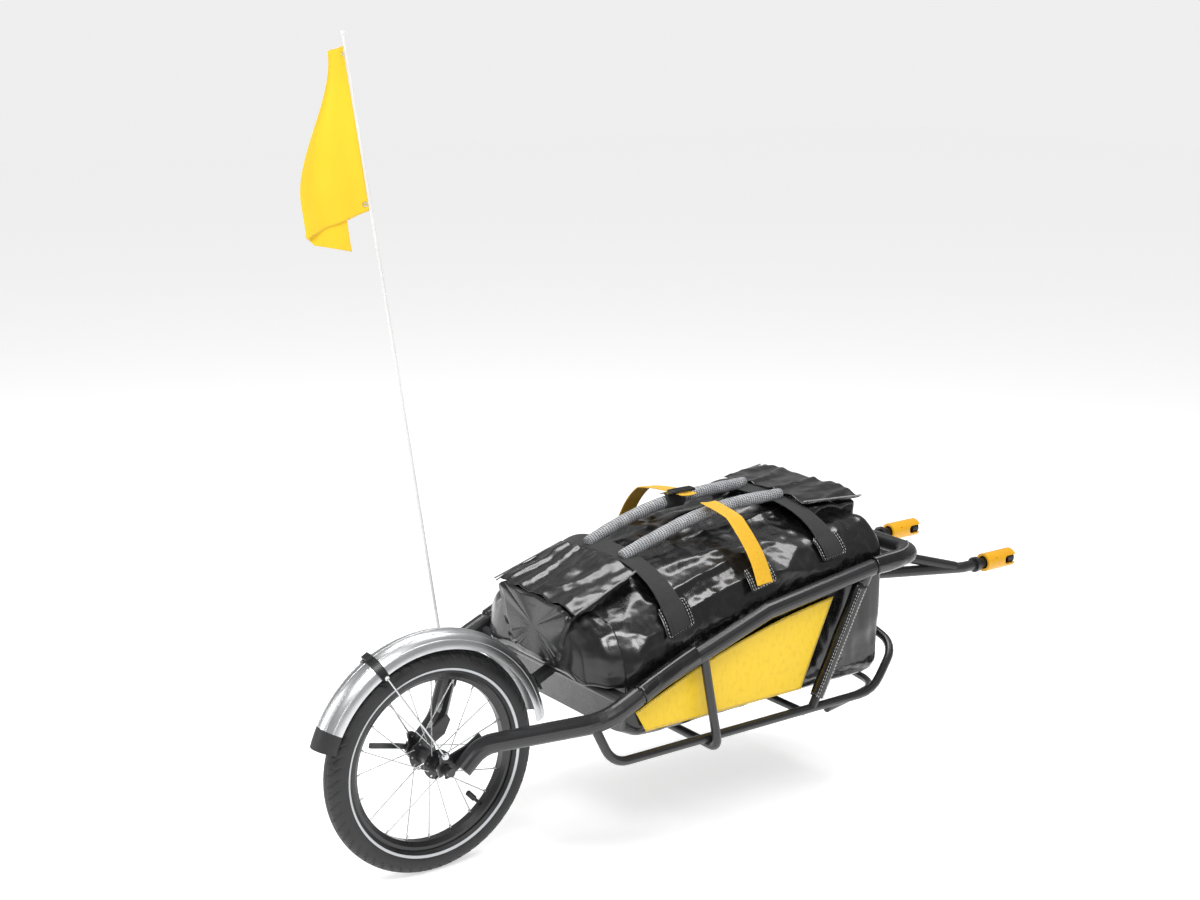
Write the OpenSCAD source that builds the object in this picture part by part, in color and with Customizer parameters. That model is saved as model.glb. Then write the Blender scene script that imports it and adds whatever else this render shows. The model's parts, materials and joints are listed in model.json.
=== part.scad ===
// Single-wheel cargo trailer for a bicycle, with a dry bag, mudguard and safety flag.
// Millimetres. +X is forward, towards the bicycle. +Y is left. +Z is up. The tyre stands on Z = 0.

/* [Wheel] */
// Radius over the tyre's tread
tyre_r = 199.5; // [190:0.5:208]
// Radius of the tyre's round section
tyre_section_r = 23.5; // [20:0.5:26]
// Thickness of the tyre's casing
tyre_wall = 3.2; // [2.5:0.1:4.5]
// Half of the rim's width
rim_half_w = 13; // [11:0.5:15]
// Depth of the rim from its bead seat to its inner face
rim_depth = 9; // [7:0.5:14]
// Height of the rim's flanges over the bead seat
rim_flange_h = 5.5; // [4:0.5:6.5]
// Spokes on each side of the hub
spokes_per_side = 10; // [8:2:14]
// Radius of a spoke
spoke_r = 1; // [0.9:0.05:1.3]
// Radius of the hub's spoke flanges
flange_r = 26; // [22:0.5:32]
// Distance from the wheel's middle to each flange's middle
flange_y = 24; // [20:0.5:30]
// Radius of the wheel's hollow axle
axle_r = 5; // [4.5:0.1:6]
// Radius of the quick-release skewer
skewer_r = 2.4; // [2:0.1:3]
// Length of the quick-release lever
lever_length = 72; // [55:1:85]

/* [Frame] */
// Half of the spacing of the two upper rails
rail_half_w = 237; // [225:1:250]
// Radius of the upper rails
rail_r = 15; // [13:0.5:16]
// Radius of the rear arms
arm_r = 17; // [15:0.5:18]
// Radius of the lower loop
loop_r = 8; // [7:0.5:9]
// Distance from the wheel's axle forward to the rear end of the rails
rail_start_x = 262; // [255:1:275]
// Distance from the wheel's axle forward to the front tube
front_x = 906; // [880:1:940]
// Height of the lower loop's axis
loop_z = 221; // [210:1:228]
// Radius of the mid hoop and the slanted struts
hoop_r = 8; // [7:0.5:9]
// Thickness of the wheel's dropout plates
dropout_t = 5; // [4:0.5:6]

/* [Fork] */
// Distance from the wheel's axle forward to the hitch axis
hitch_x = 1250; // [1230:1:1290]
// Height of the hitch axis
hitch_z = 372; // [368:1:376]
// Half of the spacing of the two hooks
hitch_half_w = 133; // [128:1:140]
// Radius of the bike axle's stub that a hook drops over
stub_r = 6; // [5:0.25:7]
// Radius of the fork's tubes
fork_r = 10.5; // [9:0.5:12]
// Radius of the steering pin
steer_pin_r = 6; // [5:0.5:7]
// Outer radius of the sliding lock sleeves
sleeve_r = 18; // [17:0.5:20]
// Travel of the sliding lock sleeves
sleeve_travel = 18; // [16:0.5:20]

/* [Mudguard] */
// Gap from the tread to the mudguard's crown
guard_gap = 30; // [20:1:36]
// Half of the mudguard's width
guard_half_w = 29; // [27:0.5:32]
// Thickness of the mudguard's sheet
guard_t = 1.2; // [1:0.1:2]

/* [Bag] */
// Half of the bag's width between the rails
bag_half_w = 219; // [205:1:219]
// Gap from the bag to the tubes round it
bag_gap = 1; // [0.5:0.1:3]
// Width of the handle webbing
webbing_w = 40; // [30:1:50]
// Radius of the two padded grips
grip_r = 11; // [9:0.5:13]

/* [Flag] */
// Length of the flag pole
pole_length = 1120; // [900:10:1160]
// Radius of the flag pole
pole_r = 2.9; // [2.5:0.1:3.5]
// Height of the flag along the pole
flag_h = 270; // [220:5:300]

/* [Hidden] */
eps = 0.01;
fit_gap = 0.3;            // clear gap between pieces that don't touch
running_gap = 0.05;       // radial clearance of a pin in its bush
facets = 48;
thick_sides = 20;         // sides of the thick bent tubes
bend_step = 11;           // largest turn between two rings of a bend

// wheel
axle_z = tyre_r;
section_centre_r = tyre_r - tyre_section_r;
bead_r = section_centre_r - tyre_section_r;
rim_inner_r = bead_r - rim_depth;
rim_wall = 1.8;
bead_half_w = rim_half_w - rim_wall - fit_gap;
flange_t = 2.5;
spoke_circle_r = flange_r - 4;
hub_body_r = 14;
hub_half = 40;            // half of the hub shell's length
bearing_r = 12;
bearing_w = 8;
dropout_y = 50;           // inner face of each dropout plate
locknut_r = 9;
nipple_r = 1.9;
nipple_length = 11;
lace_angle = 360 / spokes_per_side;
lace_start = 7;           // turn of the whole set of spokes, which leaves room for the valve
valve_angle = -47;
lever_tilt = 12;          // how far the closed lever points up from level
cam_y = dropout_y + dropout_t + 13;

// fender, measured round the wheel's axle
guard_centre_r = tyre_r + guard_gap - guard_half_w + 2;
guard_front_angle = 9;
guard_rear_angle = 153;
flap_rear_angle = 162;
ridge_h = 0.6;
ridge_angles = [-58, -30, 0, 30, 58];
stay_angle = 119;         // where the stay bracket grips the mudguard
front_bracket_angle = 24;
stay_eye = [-5, 27];      // eyelet of each dropout, from the axle
stay_r = 1.7;
stay_bolt_r = 2.5;

// frame
rail_pitch_rear = 23.5;   // climb of the rails at their rear end
rail_pitch_front = 3;     // climb of the rails at their front end
rail_start = [rail_start_x, rail_half_w, 329];
rail_bend_r = 1500;
rail_knee = rail_start + 300 * [cos(rail_pitch_rear), 0, sin(rail_pitch_rear)];
rail_corner = [front_x, rail_half_w, rail_knee[2] + (front_x - rail_knee[0]) * tan(rail_pitch_front)];
rail_end = [front_x, rail_half_w - 60, rail_corner[2]];
arm_end_y = dropout_y + dropout_t + arm_r - 1;
arm_points = [
  [20, arm_end_y, axle_z + 2], [58, arm_end_y + 2, axle_z + 37],
  rail_start - 72 * [cos(rail_pitch_rear), 0, sin(rail_pitch_rear)], rail_start
];
cross_tube_r = 11;
cross_tube_at = [rail_start_x - 8, 0, 316];
loop_rise_x = 212;
loop_front_x = front_x - 162;
loop_points = [[rail_start_x - 84, rail_half_w - 14, 300], [loop_rise_x, rail_half_w, loop_z], [loop_front_x, rail_half_w, loop_z]];
front_loop_corner = [front_x - 20, rail_half_w - 32, loop_z + 63];
front_loop_mid = [front_x, 0, loop_z + 109];
hoop_x = 423;
hoop_top_x = 399;
strut_foot_x = 654;
strut_top_x = 778;

// steering head
head_x = front_x - 16;
barrel_low = 353;
barrel_high = 447;
barrel_r = 14;
lug_r = 15;
lug_low = 323;
lug_high = rail_corner[2] + 13;
bush_r = 8.5;

// hooks and sleeves, measured from the hitch axis along +X
collar_x = hitch_x - 81;
hook_tip_x = hitch_x + 22;
hook_rod_r = 10;
hook_head_r = sleeve_r - 5;
sleeve_rear_x = hitch_x - 54;

// flag
pole_lean = 8.7;
arm_heading = unit(arm_points[2] - arm_points[1]);
pole_seat = arm_points[1] + 0.53 * (arm_points[2] - arm_points[1]);
pole_foot = 24;           // distance from the arm's axis to the pole's lower end
socket_top = 66;
flag_drop = 18;           // distance from the pole's tip down to the flag

// bag
dome_n = 2.4;             // roundness of the bag's top: 2 is an ellipse
side_n = 9;               // roundness of the bag's lower half
strap_xs = [hoop_top_x - 27, strut_top_x - 58];
centre_strap_x = 555;
grip_y = 52;

// place that the row's origin stands at, in the middle of the object's length
sleeve_front_x = hook_tip_x + 2;
rear_end_x = (guard_centre_r + guard_half_w + ridge_h) * cos(flap_rear_angle);
middle_x = (rear_end_x + sleeve_front_x) / 2;

// ---------- helpers ----------
function unit(v) = v / norm(v);
function flip(p) = [p[0], -p[1], p[2]];
function flipped(points) = [for (p = points) flip(p)];

module placed() {
  translate([-middle_x, 0, 0]) children();
}

module at_axle() {
  translate([0, 0, axle_z]) rotate([90, 0, 0]) children();
}

module both_sides() {
  children();
  mirror([0, 1, 0]) children();
}

module rod(a, b, r) {
  d = b - a;
  translate(a) rotate([0, acos(d[2] / norm(d)), atan2(d[1], d[0])]) cylinder(h = norm(d), r = r, $fn = facets);
}

// Stations along one bend, each a point and a heading
function bend_stations(before, corner, after, bend_r) =
  let (u = unit(corner - before), v = unit(after - corner), turn = acos(u * v),
       n = unit(v - u * (u * v)), centre = corner - u * bend_r * tan(turn / 2) + n * bend_r,
       steps = max(2, ceil(turn / bend_step)))
  [for (i = [0:steps]) let (a = turn * i / steps)
    [centre + bend_r * (sin(a) * u - cos(a) * n), cos(a) * u + sin(a) * n]];

function path_stations(points, radii) =
  let (last = len(points) - 1)
  concat(
    [[points[0], unit(points[1] - points[0])]],
    [for (i = [1:1:last - 1]) each bend_stations(points[i - 1], points[i], points[i + 1], radii[i - 1])],
    [[points[last], unit(points[last] - points[last - 1])]]);

// Side directions of the rings, carried along the path without twist
function carried(stations, normal, i = 0) =
  i == len(stations) ? []
  : let (d = stations[i][1], n = unit(normal - d * (normal * d)))
    concat([n], carried(stations, n, i + 1));

// A round tube through the points, bent to the given radius at each inner point
module bent_tube(points, radii, r, sides = 16) {
  stations = path_stations(points, radii);
  first = stations[0][1];
  normals = carried(stations, cross(first, abs(first[2]) < 0.9 ? [0, 0, 1] : [1, 0, 0]));
  loft([for (i = [0:len(stations) - 1]) let (n = normals[i], b = cross(stations[i][1], n))
    [for (k = [0:sides - 1]) let (a = 360 * k / sides) stations[i][0] + r * (cos(a) * n + sin(a) * b)]]);
}

// A closed solid through rings of points, each ring with the same count
module loft(rings) {
  n = len(rings[0]);
  m = len(rings);
  points = [for (ring = rings) for (p = ring) p];
  sides = [for (i = [0:m - 2]) for (j = [0:n - 1])
    [i * n + j, (i + 1) * n + j, (i + 1) * n + (j + 1) % n, i * n + (j + 1) % n]];
  triangles = [for (f = sides) each [[f[0], f[1], f[2]], [f[0], f[2], f[3]]]];
  near_cap = [for (j = [0:n - 1]) j];
  far_cap = [for (j = [n - 1:-1:0]) (m - 1) * n + j];
  polyhedron(points = points, faces = concat(triangles, [near_cap], [far_cap]), convexity = 6);
}

// A plate that lies along a line of stations, each with its left and right edge points
module band(stations, rise) {
  loft([for (s = stations) [s[0], s[1], s[1] + rise, s[0] + rise]]);
}

// ---------- wheel ----------
module tyre() {
  color("#1b1b1d") placed() at_axle() rotate_extrude($fn = 144) difference() {
    translate([section_centre_r, 0]) circle(r = tyre_section_r, $fn = facets);
    translate([section_centre_r, 0]) circle(r = tyre_section_r - tyre_wall, $fn = facets);
    translate([bead_r - 10, tyre_wall - bead_half_w]) square([10 + rim_flange_h + 6, 2 * (bead_half_w - tyre_wall)]);
    translate([bead_r - 10, -tyre_section_r]) square([10 + fit_gap, 2 * tyre_section_r]);
    both_flanks() translate([bead_r - 10, bead_half_w]) square([10 + rim_flange_h + fit_gap, tyre_section_r]);
  }
}

module both_flanks() {
  children();
  mirror([0, 1]) children();
}

module inner_tube() {
  color("#2a2a2a") placed() {
    at_axle() rotate_extrude($fn = 96)
      translate([section_centre_r, 0]) circle(r = tyre_section_r - tyre_wall - fit_gap, $fn = facets);
    valve_stem();
  }
}

module valve_stem() {
  at_axle() rotate([0, 0, valve_angle]) {
    translate([rim_inner_r - 24, 0, 0]) rotate([0, 90, 0])
      cylinder(h = section_centre_r - rim_inner_r + 10, r = 3, $fn = 24);
  }
}

module valve_cap() {
  color("#111111") placed() at_axle() rotate([0, 0, valve_angle])
    translate([rim_inner_r - 34, 0, 0]) rotate([0, 90, 0]) difference() {
      cylinder(h = 18, r = 5, $fn = 24);
      translate([0, 0, 10 - fit_gap]) cylinder(h = 10, r = 3 + fit_gap, $fn = 24);
    }
}

module rim() {
  color("#151515") placed() difference() {
    at_axle() rotate_extrude($fn = 144) rim_profile();
    for (side = [-1, 1], k = [0:spokes_per_side - 1]) spoke_frame(side, k)
      translate([rim_inner_r - 4, 0, 0]) rotate([0, 90, 0]) cylinder(h = 8, r = nipple_r + fit_gap / 2, $fn = 16);
    at_axle() rotate([0, 0, valve_angle]) translate([rim_inner_r - 4, 0, 0]) rotate([0, 90, 0])
      cylinder(h = rim_depth + 8, r = 3 + fit_gap, $fn = 24);
  }
}

module rim_profile() {
  difference() {
    polygon([
      [rim_inner_r, -rim_half_w + 6], [bead_r - 1.5, -rim_half_w], [bead_r + rim_flange_h, -rim_half_w],
      [bead_r + rim_flange_h, rim_half_w], [bead_r - 1.5, rim_half_w], [rim_inner_r, rim_half_w - 6]
    ]);
    translate([bead_r, -rim_half_w + rim_wall]) square([rim_flange_h + 1, 2 * (rim_half_w - rim_wall)]);
    polygon([
      [rim_inner_r + rim_wall, -rim_half_w + 7], [bead_r - 2 * rim_wall, -rim_half_w + 3],
      [bead_r - 2 * rim_wall, rim_half_w - 3], [rim_inner_r + rim_wall, rim_half_w - 7]
    ]);
  }
}

function rim_hole_angle(side, k) = lace_start + (k + side / 4) * lace_angle;

// Frame that turns about the axle to the rim hole of one spoke
module spoke_frame(side, k) {
  at_axle() rotate([0, 0, rim_hole_angle(side, k)]) children();
}

// A spoke of one side runs from its flange hole to its rim hole, outside or inside the flange in turn
module one_spoke(side, k) {
  outer_lift = 1.6;       // an outer spoke clears the flange's edge by this much at its elbow
  turn = k % 2 == 0 ? 1 : -1;
  outside = turn * (flange_t / 2 + spoke_r + (turn > 0 ? outer_lift : fit_gap / 2));
  rim_angle = rim_hole_angle(side, k);
  hub_angle = rim_angle + turn * lace_angle;
  elbow_at = [spoke_circle_r * cos(hub_angle), spoke_circle_r * sin(hub_angle), side * (flange_y + outside)];
  rim_at = [(rim_inner_r + 1) * cos(rim_angle), (rim_inner_r + 1) * sin(rim_angle), 0];
  foot = elbow_at + unit(rim_at - elbow_at) * 0.5;
  tip = rim_at - unit(rim_at - elbow_at) * (nipple_length - 2.3);
  head_at = [elbow_at[0], elbow_at[1], side * (flange_y - turn * (flange_t / 2 + fit_gap / 2))];
  at_axle() {
    rod(foot, tip, spoke_r);
    rod(elbow_at + [0, 0, side * turn * spoke_r], head_at - [0, 0, side * turn * 1.2], spoke_r);
    rod(head_at, head_at - [0, 0, side * turn * 1.2], 1.9);
  }
}

module spokes() {
  color("silver") placed() for (side = [-1, 1], k = [0:spokes_per_side - 1]) one_spoke(side, k);
}

module spoke_nipples() {
  color("silver") placed() for (side = [-1, 1], k = [0:spokes_per_side - 1]) spoke_frame(side, k)
    translate([rim_inner_r - nipple_length + 3.4, 0, 0]) rotate([0, 90, 0])
      cylinder(h = nipple_length - 1, r = nipple_r, $fn = 16);
}

module hub_shell() {
  color("#161616") placed() difference() {
    at_axle() {
      cylinder(h = 2 * hub_half, r = hub_body_r, center = true, $fn = facets);
      for (side = [-1, 1]) translate([0, 0, side * flange_y]) cylinder(h = flange_t, r = flange_r, center = true, $fn = 64);
    }
    at_axle() {
      cylinder(h = 2 * hub_half + 1, r = axle_r + 2, center = true, $fn = facets);
      for (side = [-1, 1]) translate([0, 0, side * (hub_half - bearing_w / 2 + 0.5)])
        cylinder(h = bearing_w + 1, r = bearing_r, center = true, $fn = facets);
      for (side = [-1, 1], k = [0:spokes_per_side - 1]) rotate([0, 0, rim_hole_angle(side, k)])
        translate([spoke_circle_r, 0, side * flange_y])
          cylinder(h = flange_t + 2, r = spoke_r + 0.15, center = true, $fn = 16);
    }
  }
}

module hub_bearings() {
  color("gainsboro") placed() at_axle() for (side = [-1, 1]) translate([0, 0, side * (hub_half - bearing_w / 2)])
    difference() {
      cylinder(h = bearing_w, r = bearing_r, center = true, $fn = facets);
      cylinder(h = bearing_w + 1, r = axle_r + running_gap, center = true, $fn = facets);
    }
}

module axle() {
  color("silver") placed() at_axle() difference() {
    cylinder(h = 2 * (dropout_y + dropout_t - 1), r = axle_r, center = true, $fn = facets);
    cylinder(h = 2 * (dropout_y + dropout_t), r = skewer_r + fit_gap, center = true, $fn = facets);
  }
}

module axle_locknuts() {
  color("#222222") placed() at_axle() for (side = [-1, 1]) translate([0, 0, side * (hub_half + dropout_y + fit_gap) / 2])
    difference() {
      cylinder(h = dropout_y - hub_half - fit_gap, r = locknut_r, center = true, $fn = facets);
      cylinder(h = dropout_y - hub_half + 1, r = axle_r, center = true, $fn = facets);
    }
}

module skewer() {
  color("silver") placed() translate([0, -dropout_y - dropout_t - 13, axle_z]) rotate([-90, 0, 0])
    cylinder(h = dropout_y + dropout_t + 13 + cam_y - 7, r = skewer_r, $fn = 24);
}

module skewer_nut() {
  color("#1c1c1c") placed() translate([0, -dropout_y - dropout_t, axle_z]) rotate([90, 0, 0]) difference() {
    union() {
      cylinder(h = 5, r = 10, $fn = facets);
      translate([0, 0, 5]) cylinder(h = 11, r = 7.5, $fn = facets);
    }
    translate([0, 0, -1]) cylinder(h = 14, r = skewer_r, $fn = 24);
  }
}

module cam_housing() {
  color("#1c1c1c") placed() translate([0, dropout_y + dropout_t, axle_z]) rotate([-90, 0, 0]) difference() {
    union() {
      cylinder(h = 4, r = 10.5, $fn = facets);
      translate([0, 0, 4]) cylinder(h = 2, r = 8, $fn = facets);
      for (side = [-1, 1]) rotate([0, 0, lever_tilt]) translate([-6, side * 6.5 - 2, 4]) cube([12, 4, 15]);
    }
    translate([0, 0, -1]) cylinder(h = 12, r = skewer_r, $fn = 24);
    rotate([0, 0, lever_tilt]) translate([0, 0, cam_y - dropout_y - dropout_t]) rotate([90, 0, 0])
      cylinder(h = 40, r = 3 + running_gap, center = true, $fn = facets);
  }
}

// Frame of the closed lever: x runs along the lever, z along the cam's axis
module lever_frame() {
  translate([0, cam_y, axle_z]) rotate([0, lever_tilt, 0]) mirror([1, 0, 0]) children();
}

module quick_release_lever() {
  color("#151515") placed() lever_frame() {
    cylinder(h = 17, r = 3, center = true, $fn = facets);
    cylinder(h = 8.4, r = 5.5, center = true, $fn = facets);
    linear_extrude(height = 8.4, center = true)
      polygon([[0, -4], [22, 4], [lever_length, 8], [lever_length + 3, 12], [lever_length, 15], [20, 11], [0, 5.2]]);
  }
}

// ---------- frame ----------
module dropout_plate() {
  translate([0, dropout_y + dropout_t, axle_z]) rotate([90, 0, 0]) difference() {
    union() {
      cylinder(h = dropout_t, r = 16, $fn = facets);
      translate([stay_eye[0], stay_eye[1], 0]) cylinder(h = dropout_t, r = 8, $fn = facets);
      linear_extrude(height = dropout_t)
        polygon([[-11, 8], [-11, 22], [1, 22], [40, 34], [66, 50], [72, 40], [60, 16], [16, -8], [4, -6]]);
    }
    translate([0, 0, -1]) {
      cylinder(h = dropout_t + 2, r = axle_r + 0.1, $fn = facets);
      rotate([0, 0, -115]) translate([0, -axle_r - 0.1, 0]) cube([30, 2 * axle_r + 0.2, dropout_t + 2]);
      translate([stay_eye[0], stay_eye[1], 0]) cylinder(h = dropout_t + 2, r = stay_bolt_r, $fn = 24);
    }
  }
}

module right_dropout() {
  color("#1d1d1f") placed() mirror([0, 1, 0]) dropout_plate();
}

module left_dropout() {
  color("#1d1d1f") placed() dropout_plate();
}

module rear_arm() {
  difference() {
    bent_tube(arm_points, [52, 74], arm_r, thick_sides);
    dropout_plate();
    translate([-30, 0, axle_z - 60]) cube([60, dropout_y + dropout_t, 120]);
  }
}

module right_rear_arm() {
  color("#1a1a1c") placed() mirror([0, 1, 0]) rear_arm();
}

module left_rear_arm() {
  color("#1a1a1c") placed() rear_arm();
}

module rail_tube() {
  rail_path(rail_r);
}

module rail_path(r) {
  bent_tube([rail_start, rail_knee, rail_corner, rail_end], [rail_bend_r, 40], r, thick_sides);
}

module right_rail() {
  color("#1a1a1c") placed() mirror([0, 1, 0]) rail_tube();
}

module left_rail() {
  color("#1a1a1c") placed() rail_tube();
}

module front_tube() {
  color("#1a1a1c") placed() difference() {
    front_tube_raw();
    translate([head_x, 0, 0]) cylinder(h = 600, r = steer_pin_r, $fn = facets);
  }
}

module rear_cross_tube() {
  color("#1a1a1c") placed() difference() {
    rod(cross_tube_at + [0, rail_half_w, 0], cross_tube_at - [0, rail_half_w, 0], cross_tube_r);
    both_sides() rear_arm();
    both_sides() rail_tube();
  }
}

module loop_side() {
  difference() {
    bent_tube(loop_points, [45], loop_r);
    rear_arm();
  }
}

module right_loop_tube() {
  color("#1a1a1c") placed() mirror([0, 1, 0]) loop_side();
}

module left_loop_tube() {
  color("#1a1a1c") placed() loop_side();
}

module front_loop() {
  start = loop_points[2];
  bend_in = start + [60, 0, 0];
  color("#1a1a1c") placed() difference() {
    bent_tube([start, bend_in, front_loop_corner, front_loop_mid, flip(front_loop_corner), flip(bend_in), flip(start)],
      [90, 60, 120, 60, 90], loop_r);
    lug_barrel(lug_low, barrel_low - fit_gap);
  }
}

module front_skid() {
  back = [front_x - 210, rail_half_w - 6, loop_z - 2 * loop_r + 3];
  corner = [front_x - 50, rail_half_w - 45, loop_z - 14];
  front = [front_x - 24, 0, loop_z - 6];
  color("#1a1a1c") placed() difference() {
    bent_tube([back, corner, front, flip(corner), flip(back)], [60, 300, 60], loop_r - 1);
    both_sides() loop_side();
  }
}

module mid_hoop() {
  foot = [hoop_x, rail_half_w + loop_r + hoop_r + 2.5, loop_z - loop_r - hoop_r - fit_gap];
  top = [hoop_top_x, rail_half_w + 2, rail_z(hoop_top_x)];
  color("#1a1a1c") placed() difference() {
    bent_tube([top, foot, flip(foot), flip(top)], [18, 18], hoop_r);
    both_sides() rail_tube();
  }
}

module strut_rod(r) {
  rod([strut_foot_x, rail_half_w, loop_z], [strut_top_x, rail_half_w, rail_corner[2] - 6], r);
}

module front_strut() {
  difference() {
    strut_rod(hoop_r);
    rail_tube();
    loop_side();
  }
}

module right_front_strut() {
  color("#1a1a1c") placed() mirror([0, 1, 0]) front_strut();
}

module left_front_strut() {
  color("#1a1a1c") placed() front_strut();
}

module bed_cross_tube() {
  color("#1a1a1c") placed() difference() {
    rod([strut_foot_x - 20, rail_half_w, loop_z - 3], [strut_foot_x - 20, -rail_half_w, loop_z - 3], loop_r - 1);
    both_sides() loop_side();
  }
}

module lug_barrel(low, high) {
  translate([head_x, 0, low]) cylinder(h = high - low, r = lug_r, $fn = facets);
}

module head_lugs() {
  color("#1a1a1c") placed() difference() {
    union() {
      lug_barrel(lug_low, barrel_low - 1.2);
      lug_barrel(barrel_high + 1.2, lug_high);
    }
    front_tube_raw();
    translate([head_x, 0, 0]) cylinder(h = 600, r = steer_pin_r, $fn = facets);
  }
}

module front_tube_raw() {
  rod(rail_end, flip(rail_end), rail_r);
}

module steering_pin() {
  color("silver") placed() translate([head_x, 0, 0]) {
    difference() {
      translate([0, 0, lug_low - 14]) cylinder(h = lug_high - lug_low + 14, r = steer_pin_r, $fn = facets);
      translate([0, 0, lug_low - 7]) rotate([90, 0, 0]) cylinder(h = 30, r = 1.6, center = true, $fn = 24);
    }
    translate([0, 0, lug_high]) cylinder(h = 6, r = 10, $fn = facets);
  }
}

// A spring clip through the steering pin's foot
module pin_clip() {
  color("silver") placed() translate([head_x, 0, lug_low - 7]) {
    rotate([90, 0, 0]) cylinder(h = 30, r = 1.5, center = true, $fn = 24);
    translate([0, 15, 0]) rotate([90, 0, 0]) translate([-8, 0, 0]) rotate([0, 90, 0]) cylinder(h = 16, r = 1.8, $fn = 24);
  }
}

// ---------- fork ----------
module fork_barrel() {
  color("#1a1a1c") placed() difference() {
    translate([head_x, 0, barrel_low]) cylinder(h = barrel_high - barrel_low, r = barrel_r, $fn = facets);
    translate([head_x, 0, barrel_low - 1]) cylinder(h = barrel_high - barrel_low + 2, r = bush_r, $fn = facets);
  }
}

module fork_bushes() {
  color("#c9a85a") placed() for (z = [barrel_low, barrel_high - 20]) translate([head_x, 0, z]) difference() {
    cylinder(h = 20, r = bush_r, $fn = facets);
    translate([0, 0, -1]) cylinder(h = 22, r = steer_pin_r + running_gap, $fn = facets);
  }
}

module fork_arm() {
  neck = [collar_x - 30, hitch_half_w, hitch_z];
  color("#1a1a1c") difference() {
    union() {
      bent_tube([[head_x, 0, hitch_z + 2], [head_x + 18, 46, hitch_z + 2], neck, [collar_x, hitch_half_w, hitch_z]],
        [24, 30], fork_r);
      bent_tube([[head_x, 0, barrel_high - 13], [head_x + 18, 46, barrel_high - 14], neck - [16, 5, -3]],
        [24], fork_r - 0.5);
    }
    translate([head_x, 0, barrel_low - 20]) cylinder(h = 160, r = barrel_r, $fn = facets);
  }
  color("#1a1a1c") translate([collar_x, hitch_half_w, hitch_z]) rotate([0, 90, 0]) cylinder(h = 8, r = 15, $fn = facets);
}

module right_fork_arm() {
  placed() mirror([0, 1, 0]) fork_arm();
}

module left_fork_arm() {
  placed() fork_arm();
}

// A rod with a head that drops over the bicycle's axle stub. Its mouth opens downwards.
module hook() {
  head_start = hitch_x - 24;
  color("#2a2a2c") difference() {
    translate([0, hitch_half_w, hitch_z]) rotate([0, 90, 0]) {
      translate([0, 0, collar_x + 8]) cylinder(h = head_start - collar_x - 8, r = hook_rod_r, $fn = facets);
      translate([0, 0, head_start]) cylinder(h = hook_tip_x - head_start, r = hook_head_r - fit_gap, $fn = facets);
    }
    translate([hitch_x, hitch_half_w, hitch_z]) rotate([90, 0, 0])
      cylinder(h = 60, r = stub_r + 0.1, center = true, $fn = facets);
    translate([hitch_x - stub_r - 0.1, hitch_half_w - 30, hitch_z - 40]) cube([2 * stub_r + 0.2, 60, 40]);
    translate([hitch_x - 14, hitch_half_w, hitch_z]) rotate([0, 90, 0]) ring_groove();
  }
}

module ring_groove() {
  rotate_extrude($fn = 64) translate([hook_head_r - 0.6, 0]) circle(r = 1.45, $fn = 24);
}

module right_hook() {
  placed() mirror([0, 1, 0]) hook();
}

module left_hook() {
  placed() hook();
}

// Rubber rings that hold the sleeves where they are put
module sleeve_o_rings() {
  color("#101010") placed() both_sides() translate([hitch_x - 14, hitch_half_w, hitch_z]) rotate([0, 90, 0])
    rotate_extrude($fn = 64) translate([hook_head_r - 1, 0]) circle(r = 0.95, $fn = 24);
}

// The sleeve covers the hook's mouth. Slid back, its short underside clears the mouth.
module lock_sleeve() {
  length = sleeve_front_x - sleeve_rear_x;
  color("#ffd21f") translate([sleeve_rear_x, hitch_half_w, hitch_z]) difference() {
    rotate([0, 90, 0]) {
      cylinder(h = length - 3, r = sleeve_r, $fn = 64);
      translate([0, 0, length - 3]) cylinder(h = 3, r1 = sleeve_r, r2 = sleeve_r - 2, $fn = 64);
    }
    translate([-1, 0, 0]) rotate([0, 90, 0]) cylinder(h = length + 2, r = hook_head_r + 0.05, $fn = 64);
    translate([hitch_x - sleeve_rear_x, 0, 0]) rotate([90, 0, 0]) cylinder(h = 60, r = stub_r + 2.5, center = true, $fn = facets);
    translate([hitch_x - sleeve_rear_x, -30, -stub_r - 2.5]) cube([40, 60, 2 * stub_r + 5]);
    translate([hitch_x - sleeve_rear_x + sleeve_travel - stub_r - 1, -stub_r - 2, -30]) cube([40, 2 * stub_r + 4, 30]);
    translate([hitch_x - sleeve_rear_x - 30, 0, 9]) rotate([90, 0, 0]) cylinder(h = 60, r = 1.5, center = true, $fn = 24);
  }
}

module right_lock_sleeve() {
  placed() mirror([0, 1, 0]) lock_sleeve();
}

module left_lock_sleeve() {
  placed() lock_sleeve();
}

// ---------- mudguard ----------
// A part of the mudguard's half-round sheet, between two angles round the axle
module guard_shell(from, to, inner, outer, ridges = 0) {
  at_axle() rotate([0, 0, from]) rotate_extrude(angle = to - from, $fn = 180)
    translate([guard_centre_r, 0]) difference() {
      union() {
        circle(r = outer, $fn = 64);
        if (ridges > 0) for (a = ridge_angles) rotate([0, 0, a]) translate([outer - ridges, 0])
          circle(r = 2 * ridges, $fn = 16);
      }
      circle(r = inner, $fn = 64);
      translate([-outer - 5, -outer - 5]) square([outer + 5, 2 * outer + 10]);
    }
}

module mudguard() {
  color("#c8cacc") placed()
    guard_shell(guard_front_angle, guard_rear_angle, guard_half_w - guard_t, guard_half_w, ridge_h);
}

module mudguard_flap() {
  color("#161616") placed() {
    guard_shell(guard_rear_angle, flap_rear_angle, guard_half_w - 3, guard_half_w + ridge_h);
    guard_shell(guard_rear_angle - 5, guard_rear_angle, guard_half_w - 3, guard_half_w - guard_t);
  }
}

// Frame at the mudguard's crown: x runs outwards from the axle, z across the wheel
module at_crown(angle) {
  at_axle() rotate([0, 0, angle]) translate([guard_centre_r + guard_half_w, 0, 0]) children();
}

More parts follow.
